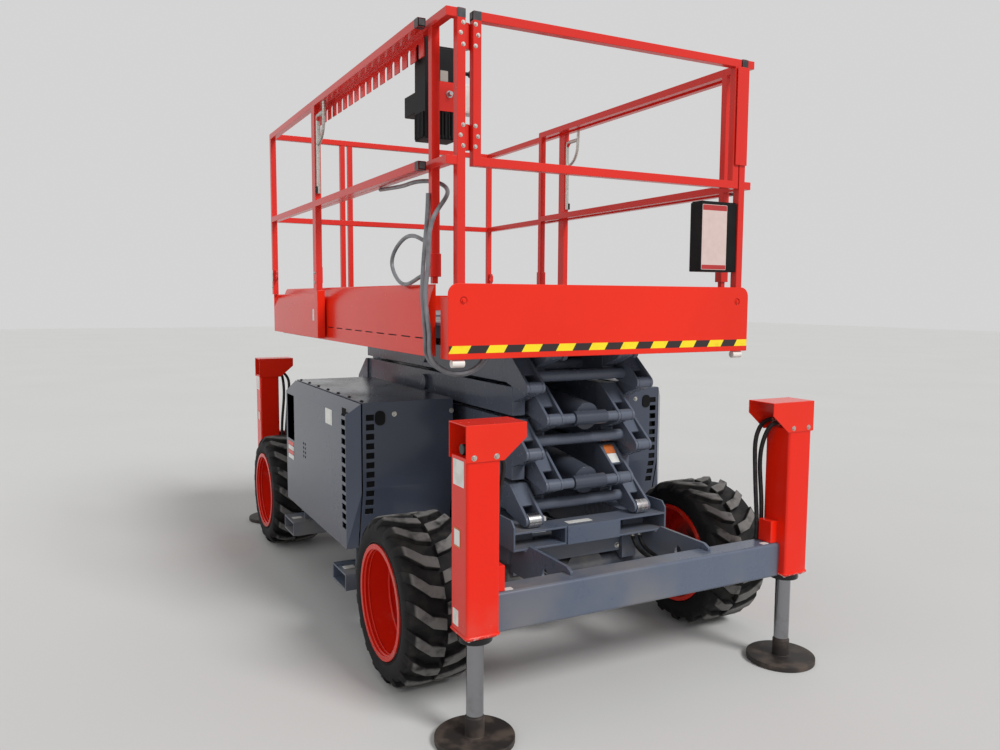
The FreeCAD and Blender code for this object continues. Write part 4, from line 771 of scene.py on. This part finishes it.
PIN_Y, MIDDLE_Y, BASE_PIN_Z, STAGE_PITCH, STAGES = -1.217, -0.167, 0.623, 0.1355, 5
ARM_OUTER_FACE, ARM_INNER_FACE = 0.299, 0.146
arm_enamel = enamel("arm_enamel", srgb(96, 103, 117), 0.55, 0.6, 0.24)
for stage in range(1, STAGES + 1):
    middle_z = BASE_PIN_Z + (stage - 0.5) * STAGE_PITCH
    dressed("inner_arm_%d" % stage, arm_enamel)
    dressed("outer_arm_%d" % stage, arm_enamel)
    bolts("pivot_caps_%d" % stage, "outer_arm_%d" % stage, black_plastic,
          [((side * ARM_OUTER_FACE, MIDDLE_Y, middle_z), X * side) for side in (-1, 1)], 0.026, 0.006, 24)
    bolts("pivot_bolts_%d" % stage, "outer_arm_%d" % stage, zinc,
          [((side * (ARM_OUTER_FACE + 0.006), MIDDLE_Y, middle_z), X * side) for side in (-1, 1)],
          0.010, 0.006, 6)

bright_steel, shader, place, facing = surface("bright_roller_steel", {"Metallic": 1.0})
turning = place.node("Mapping", {}, {"Vector": place, "Scale": (260.0, 12.0, 12.0)}).noise(1.0, 4.0)
turning.clear_of(0.3, 0.8).paint(srgb(206, 206, 208), srgb(150, 149, 148)).feed(shader, "Base Color")
(turning * 0.28 + 0.14).feed(shader, "Roughness")
turning.bump(0.15, 0.0005).feed(shader, "Normal")
dressed("base_rollers", bright_steel, 0.002)

rod_chrome = mottled("rod_chrome", {"Metallic": 1.0}, ((164, 165, 170), (122, 120, 118)),
                     (12.0, 5.0, 0.4, 0.8), (12.0, 5.0, 0.15, 0.06), (12.0, 5.0, 0.04, 0.001))
cylinder_enamel = enamel("cylinder_enamel", srgb(70, 76, 88), 0.5, 0.5, 0.22)
for level_name in ("lower", "upper"):
    dressed("lift_barrel_" + level_name, cylinder_enamel)
    dressed("lift_rod_" + level_name, rod_chrome)

CAP_MIDDLE, CAP_UP = Vector((0.176, -1.130, 0.84725)), Vector((0, 0.669, 0.743))
for colour_name, finish, along in (("white", white_plate, -0.0235), ("orange", orange_plate, 0.0235)):
    plates("arm_cap_%s_plate" % colour_name, "inner_arm_2", finish,
           [(CAP_MIDDLE + CAP_UP * along, X, CAP_UP, 0.050, 0.046)])
for stage in (1, 3):
    bolts("grease_points_%d" % stage, "inner_arm_%d" % stage, zinc,
          [((ARM_INNER_FACE, PIN_Y + 0.016, BASE_PIN_Z + STAGE_PITCH * stage + 0.026), -X)], 0.006, 0.012)

# Platform: a tread-plate floor on slate channels, folded red toe boards at the sides, and the
# pressed rear board with its yellow and black stripe and two white bumpers.

DECK_TOP, TREAD_PITCH = 1.430, 0.030
tread_plate, shader, place, facing = surface("tread_plate", {})
cells = place.node("VectorMath", {"operation": "SCALE"}, {0: place, "Scale": 1.0 / TREAD_PITCH})
cell_x, cell_y = cells.axis(0), cells.axis(1)
row_x, row_y = cell_x.maths("FLOOR"), cell_y.maths("FLOOR")
odd = (row_x + row_y).maths("FLOORED_MODULO", 2.0)
in_x, in_y = cell_x - row_x - 0.5, cell_y - row_y - 0.5
rising, falling = in_x + in_y, in_x - in_y
long_way = rising * odd + falling * (1 - odd)
short_way = falling * odd + rising * (1 - odd)
lozenge = 1 - (long_way * long_way * 1.6 + short_way * short_way * 22.0).clear_of(0.55, 0.95)
is_top = place.axis(2).clear_of(DECK_TOP - 0.004, DECK_TOP - 0.002) * facing.axis(2).clear_of(0.5, 0.8)
trodden = place.noise(5.0, 6.0).clear_of(0.35, 0.7)
metal = trodden.paint(srgb(150, 152, 155), srgb(112, 110, 107))
metal = (lozenge * 0.55).paint(metal, srgb(186, 188, 190))
is_top.paint(place.noise(3.0, 4.0).paint(shade(SLATE, 0.8), SLATE), metal).feed(shader, "Base Color")
(is_top * 0.8).feed(shader, "Metallic")
(trodden * 0.2 + 0.34).feed(shader, "Roughness")
(lozenge * is_top).bump(0.8, 0.0016).feed(shader, "Normal")
dressed("platform_deck", tread_plate)
dressed("extension_deck", tread_plate)

for node in ("side_panels", "rear_panel", "extension_boards"):
    dressed(node, board_red, 0.0018)

BOARD_HALF, BOARD_FACE = 0.713, -1.373
STRIPE_FOOT, STRIPE_HEIGHT, STRIPE_PITCH, STRIPE_SLANT = 1.322, 0.028, 0.1502, 0.6
stripe_tape, shader, place, facing = surface("yellow_and_black_tape", {"Coat Weight": 0.2})
run = (place.axis(0) + BOARD_HALF - (place.axis(2) - STRIPE_FOOT) * STRIPE_SLANT) / STRIPE_PITCH
dark = run.maths("FRACT") > 0.5
worn = place.noise(34.0, 5.0).clear_of(0.5, 0.85) * 0.35
dark.paint(worn.paint(srgb(252, 226, 20), srgb(206, 176, 40)), srgb(40, 26, 26)).feed(shader, "Base Color")
(worn * 0.4 + 0.3).feed(shader, "Roughness")
place.noise(120.0, 2.0).bump(0.05, 0.0004).feed(shader, "Normal")
plates("hazard_stripe", "platform", stripe_tape,
       [((0.0, BOARD_FACE, STRIPE_FOOT + STRIPE_HEIGHT / 2), X, Z, 2 * BOARD_HALF - 0.004, STRIPE_HEIGHT)],
       0.0006, 0.001)
bolts("rear_board_bolts", "platform", board_red,
      [((side * 0.651, BOARD_FACE + 0.003, 1.513), -Y) for side in (-1, 1)], 0.0085, 0.006, 6)

# Painted shade: dark red strips on the toe boards' sides stand for the shade seen in their slots.
painted_slot_shade = mottled("painted_slot_shade", {"Specular IOR Level": 0.1}, ((40, 10, 10), (20, 8, 8)),
                    (40.0, 3.0), (20.0, 2.0, 0.2, 0.7))
plates("side_board_painted_slots", "platform", painted_slot_shade,
       [((side * BOARD_HALF, -1.105 + 0.152 * step, 1.3685), Y * side, Z, 0.096, 0.0045)
        for side in (-1, 1) for step in range(9)], 0.0004, 0.002)

white_plastic, shader, place, facing = surface("white_plastic", {"Specular IOR Level": 0.45})
marks = place.noise(26.0, 5.0).clear_of(0.5, 0.8)
marks.paint(srgb(236, 235, 228), srgb(176, 168, 156)).feed(shader, "Base Color")
(marks * 0.25 + 0.34).feed(shader, "Roughness")
place.noise(150.0, 2.0).bump(0.06, 0.0005).feed(shader, "Normal")
dressed("platform_bumpers", white_plastic, 0.002)

# Guardrails: square red tube, welded, with a slotted index plate along the left top rail, a
# bolted hinge down the left rear corner, and a swing gate. Tube ends carry square black plugs,
# and the roll-out deck's rails bright push handles with levers.

RAIL_X, OUTER_RAIL_X, RAIL_TOP, TUBE = 0.700, 0.749, 2.530, 0.032
CORNER_FACE, LEFT_CORNER_X, RIGHT_CORNER_X, GATE_LEFT_X = -1.366, -0.6585, 0.663, -0.6125
rail_red = enamel("rail_enamel", srgb(222, 46, 36), 0.3, 0.12, 0.22)
for node in ("main_rails", "gate", "extension_rails"):
    dressed(node, rail_red, 0.0014)

HINGE_ROWS = ((2.482, 1), (2.446, -1), (2.408, 1), (2.132, 1), (2.096, -1), (2.060, 1))
bolts("hinge_bolts_post", "platform", zinc,
      [((LEFT_CORNER_X + 0.002 + 0.005 * lean, CORNER_FACE, z), -Y) for z, lean in HINGE_ROWS],
      0.0058, 0.0045)
bolts("hinge_bolts_gate", "gate", zinc,
      [((GATE_LEFT_X + 0.014 - 0.005 * lean, CORNER_FACE, z), -Y) for z, lean in HINGE_ROWS], 0.0058, 0.0045)
bolts("post_sleeve_bolts", "platform", zinc,
      [((side * (RAIL_X + 0.020), y, 1.645), X * side) for side in (-1, 1) for y in (-1.217, 0.383)],
      0.009, 0.006)
bolts("extension_post_bolts", "extension", zinc,
      [((side * (OUTER_RAIL_X + TUBE / 2), y, z), X * side)
       for side in (-1, 1) for y, z in ((1.207, 1.585), (0.213, 1.600), (0.213, 1.650))], 0.007, 0.005)


def smooth_tube(name, points, radius):
    """A bright round tube along a smooth curve through NURBS points, closed at both ends."""
    curve = bpy.data.curves.new(name, "CURVE")
    curve.dimensions = "3D"
    curve.bevel_depth = radius
    curve.bevel_resolution = 5
    curve.use_fill_caps = True
    line = curve.splines.new("NURBS")
    line.points.add(len(points) - 1)
    for point, place in zip(line.points, points):
        point.co = (*place, 1.0)
    line.order_u = 3
    line.use_endpoint_u = True
    line.resolution_u = 10
    guide = linked(name + "_line", curve)
    solid = bpy.data.meshes.new_from_object(guide.evaluated_get(bpy.context.evaluated_depsgraph_get()))
    bpy.data.objects.remove(guide)
    mesh = bmesh.new()
    mesh.from_mesh(solid)
    bmesh.ops.remove_doubles(mesh, verts=mesh.verts, dist=1e-5)
    bmesh.ops.recalc_face_normals(mesh, faces=mesh.faces)
    placed(name, mesh, zinc, "extension", 50.0)


HANDLE_Y, HANDLE_R, LEVER_R = 0.176, 0.0105, 0.0085
HANDLE_BENDS = ((HANDLE_Y, 2.052), (HANDLE_Y, 2.20), (HANDLE_Y, 2.34), (HANDLE_Y, 2.425),
                (0.172, 2.440), (0.150, 2.4405), (0.062, 2.4405))
LEVER_BENDS = ((0.170, 2.300), (0.120, 2.312), (0.078, 2.352), (0.060, 2.410), (0.058, 2.492))
for side_name, side in SIDES:
    smooth_tube("push_handle_" + side_name, [(side * OUTER_RAIL_X, y, z) for y, z in HANDLE_BENDS], HANDLE_R)
    smooth_tube("push_lever_" + side_name, [(side * OUTER_RAIL_X, y, z) for y, z in LEVER_BENDS], LEVER_R)
    plates("handle_clamp_" + side_name, "extension", black_plastic,
           [((side * (OUTER_RAIL_X + HANDLE_R), HANDLE_Y, 2.070), Y * side, Z, 0.026, 0.036)], 0.004, 0.003)

plug_plastic = mottled("grey_black_plug", {"Specular IOR Level": 0.6}, ((38, 39, 42), (70, 71, 74)),
                       (30.0, 4.0, 0.4, 0.8), (60.0, 3.0, 0.2, 0.28), (200.0, 2.0, 0.08, 0.0004))
PLUG_PARTS = ((TUBE / 2 + 0.0004, -0.0315, 0.0015), (TUBE / 2 - 0.004, 0.0012, 0.0040))


def end_plugs(name, body, tubes):
    """Square black plugs in tube ends, on (centre of the end, outward) places, with a proud rim."""
    mesh = bmesh.new()
    for centre, outward in tubes:
        turn = outward.to_track_quat("Z", "X").to_matrix().to_4x4()
        for half, low, high in PLUG_PARTS:
            middle = Matrix.Translation(Vector(centre) + outward * (low + high) / 2)
            scale = Matrix.Diagonal((2 * half, 2 * half, high - low, 1.0))
            made = bmesh.ops.create_cube(mesh, size=1.0, matrix=middle @ turn @ scale)
            edges = list({edge for vert in made["verts"] for edge in vert.link_edges})
            bmesh.ops.bevel(mesh, geom=edges, offset=0.0012, segments=2, affect="EDGES")
    placed(name, mesh, plug_plastic, body)


end_plugs("corner_plugs", "platform",
          [((x, CORNER_FACE + TUBE / 2, RAIL_TOP - 0.0015), Z) for x in (LEFT_CORNER_X, RIGHT_CORNER_X)])
end_plugs("outer_rail_plugs", "extension",
          [((side * OUTER_RAIL_X, -1.2185, z), -Y) for side in (-1, 1) for z in (2.508, 2.003)])
end_plugs("gate_plugs", "gate", [((GATE_LEFT_X + 0.0015, -1.350, RAIL_TOP - 0.018), -X)])

# Controls: the black upper control box with its joystick and stop button, the white outlet box
# beside it, and the black document box at the right rear post with a blank, red-banded plate.

dressed("control_box", black_plastic, 0.004)
dressed("document_box", black_plastic, 0.003)
dressed("outlet_box", white_plastic, 0.003)
OUTLET_X, OUTLET_Z = -0.5047, 2.295
plates("outlet_box_lid", "platform", white_plastic,
       [((OUTLET_X, -1.085, OUTLET_Z), X, Z, 0.066, 0.098)], 0.0022, 0.008)
bolts("outlet_box_screws", "platform", zinc,
      [((OUTLET_X + 0.026 * x, -1.0872, OUTLET_Z + 0.041 * z), -Y) for x, z in CORNERS], 0.003, 0.0022)

BOX_REAR, BOX_LEFT, BOX_RIGHT, BOX_MIDDLE_Y, RIB_PITCH = -1.095, -0.6837, -0.545, -1.040, 0.0135
grey_plate = mottled("grey_plate", {"Coat Weight": 0.1}, ((172, 167, 158), (140, 136, 130)),
                     (25.0, 4.0), (60.0, 3.0, 0.2, 0.35))
plates("control_box_ribs", "platform", black_plastic,
       [((-0.6135 + RIB_PITCH * step, BOX_REAR, 2.183), X, Z, 0.006, 0.096) for step in range(-4, 5)]
       + [((BOX_LEFT, BOX_MIDDLE_Y + RIB_PITCH * step, 2.183), -Y, Z, 0.006, 0.096) for step in range(-3, 4)],
       0.005, 0.002)
plates("control_face_plate", "platform", grey_plate,
       [((BOX_RIGHT, BOX_MIDDLE_Y, 2.385), Y, Z, 0.086, 0.120)], 0.0015, 0.006)
plates("control_blank_plate", "platform", grey_plate,
       [((-0.606, BOX_REAR, 2.366), X, Z, 0.032, 0.040)], 0.001, 0.002)
plates("control_red_panel", "platform", rail_red,
       [((-0.6045, BOX_REAR, 2.290), X, Z, 0.112, 0.110)], 0.0022, 0.006)
plates("control_top_lid", "platform", black_plastic,
       [((-0.6145, BOX_MIDDLE_Y, 2.470), X, Y, 0.128, 0.100)], 0.006, 0.012)
bolts("control_knob", "platform", bright_steel,
      [((-0.585, BOX_REAR - 0.0022, 2.300), -Y)], 0.010, 0.020, 20)

PANEL_X = -0.5435
STICK_PARTS = ((0.0, 0.014, 0.024, 0.013, 24), (0.014, 0.058, 0.006, 0.0075, 16),
               (0.058, 0.084, 0.013, 0.011, 20))
stick = bmesh.new()
for low, high, low_r, high_r, sides in STICK_PARTS:
    middle = Matrix.Translation((PANEL_X + (low + high) / 2, -1.062, 2.395))
    bmesh.ops.create_cone(stick, cap_ends=True, segments=sides, radius1=low_r, radius2=high_r,
                          depth=high - low, matrix=middle @ Matrix.Rotation(math.pi / 2, 4, "Y"))
rims = [edge for edge in stick.edges if edge.calc_face_angle(0.0) > 0.9]
bmesh.ops.bevel(stick, geom=rims, offset=0.0018, segments=2, affect="EDGES")
placed("joystick", stick, black_plastic, "platform")
bolts("stop_button", "platform", board_red,
      [((PANEL_X, -1.012, 2.412), X)], 0.014, 0.016, 24)
bolts("control_switches", "platform", zinc,
      [((PANEL_X, -1.018 - 0.028 * step, 2.345), X) for step in range(3)], 0.0045, 0.014)

sign_field = mottled("faded_pink_plate", {"Coat Weight": 0.15}, ((224, 202, 196), (206, 180, 174)),
                     (40.0, 4.0), (60.0, 3.0, 0.2, 0.35))
sign_red = mottled("sign_red", {"Coat Weight": 0.15}, ((190, 44, 44), (164, 38, 40)),
                   (40.0, 4.0), (60.0, 3.0, 0.2, 0.35))
SIGN_X, SIGN_WIDTH, SIGN_FACE = 0.5225, 0.135, -1.360
plates("document_box_plate", "platform", sign_field,
       [((SIGN_X, SIGN_FACE, 1.784), X, Z, SIGN_WIDTH, 0.272)], 0.0010, 0.004)
plates("document_box_bands", "platform", sign_red,
       [((SIGN_X, SIGN_FACE - 0.0010, z), X, Z, SIGN_WIDTH - 0.004, height)
        for z, height in ((1.907, 0.022), (1.659, 0.018))], 0.0004, 0.003)
plates("document_box_lid", "platform", black_plastic,
       [((0.548, -1.325, 1.930), X, Y, 0.190, 0.062)], 0.004, 0.004)
# Conduits: three grey flexible conduits clamped at the left rear post, hanging in long loops
# beside the toe boards and back under the floor.

conduit_skin = mottled("grey_conduit_skin", {"Coat Weight": 0.2, "Coat Roughness": 0.25},
                       ((128, 131, 136), (92, 92, 94)),
                       (18.0, 5.0, 0.4, 0.75), (18.0, 5.0, 0.25, 0.26), ribs=(700.0, 0.10, 0.0006))
dressed("conduits", conduit_skin, 0)

# Extension: the roll-out deck's small blank plates, riveted on its toe boards and front posts.

plates("extension_blank_plates", "extension", white_plate,
       [((side * 0.756, 0.285, 1.430), Y * side, Z, 0.030, 0.062) for side in (-1, 1)]
       + [((side * 0.768, 1.204, 1.655), Y * side, Z, 0.026, 0.070) for side in (-1, 1)])
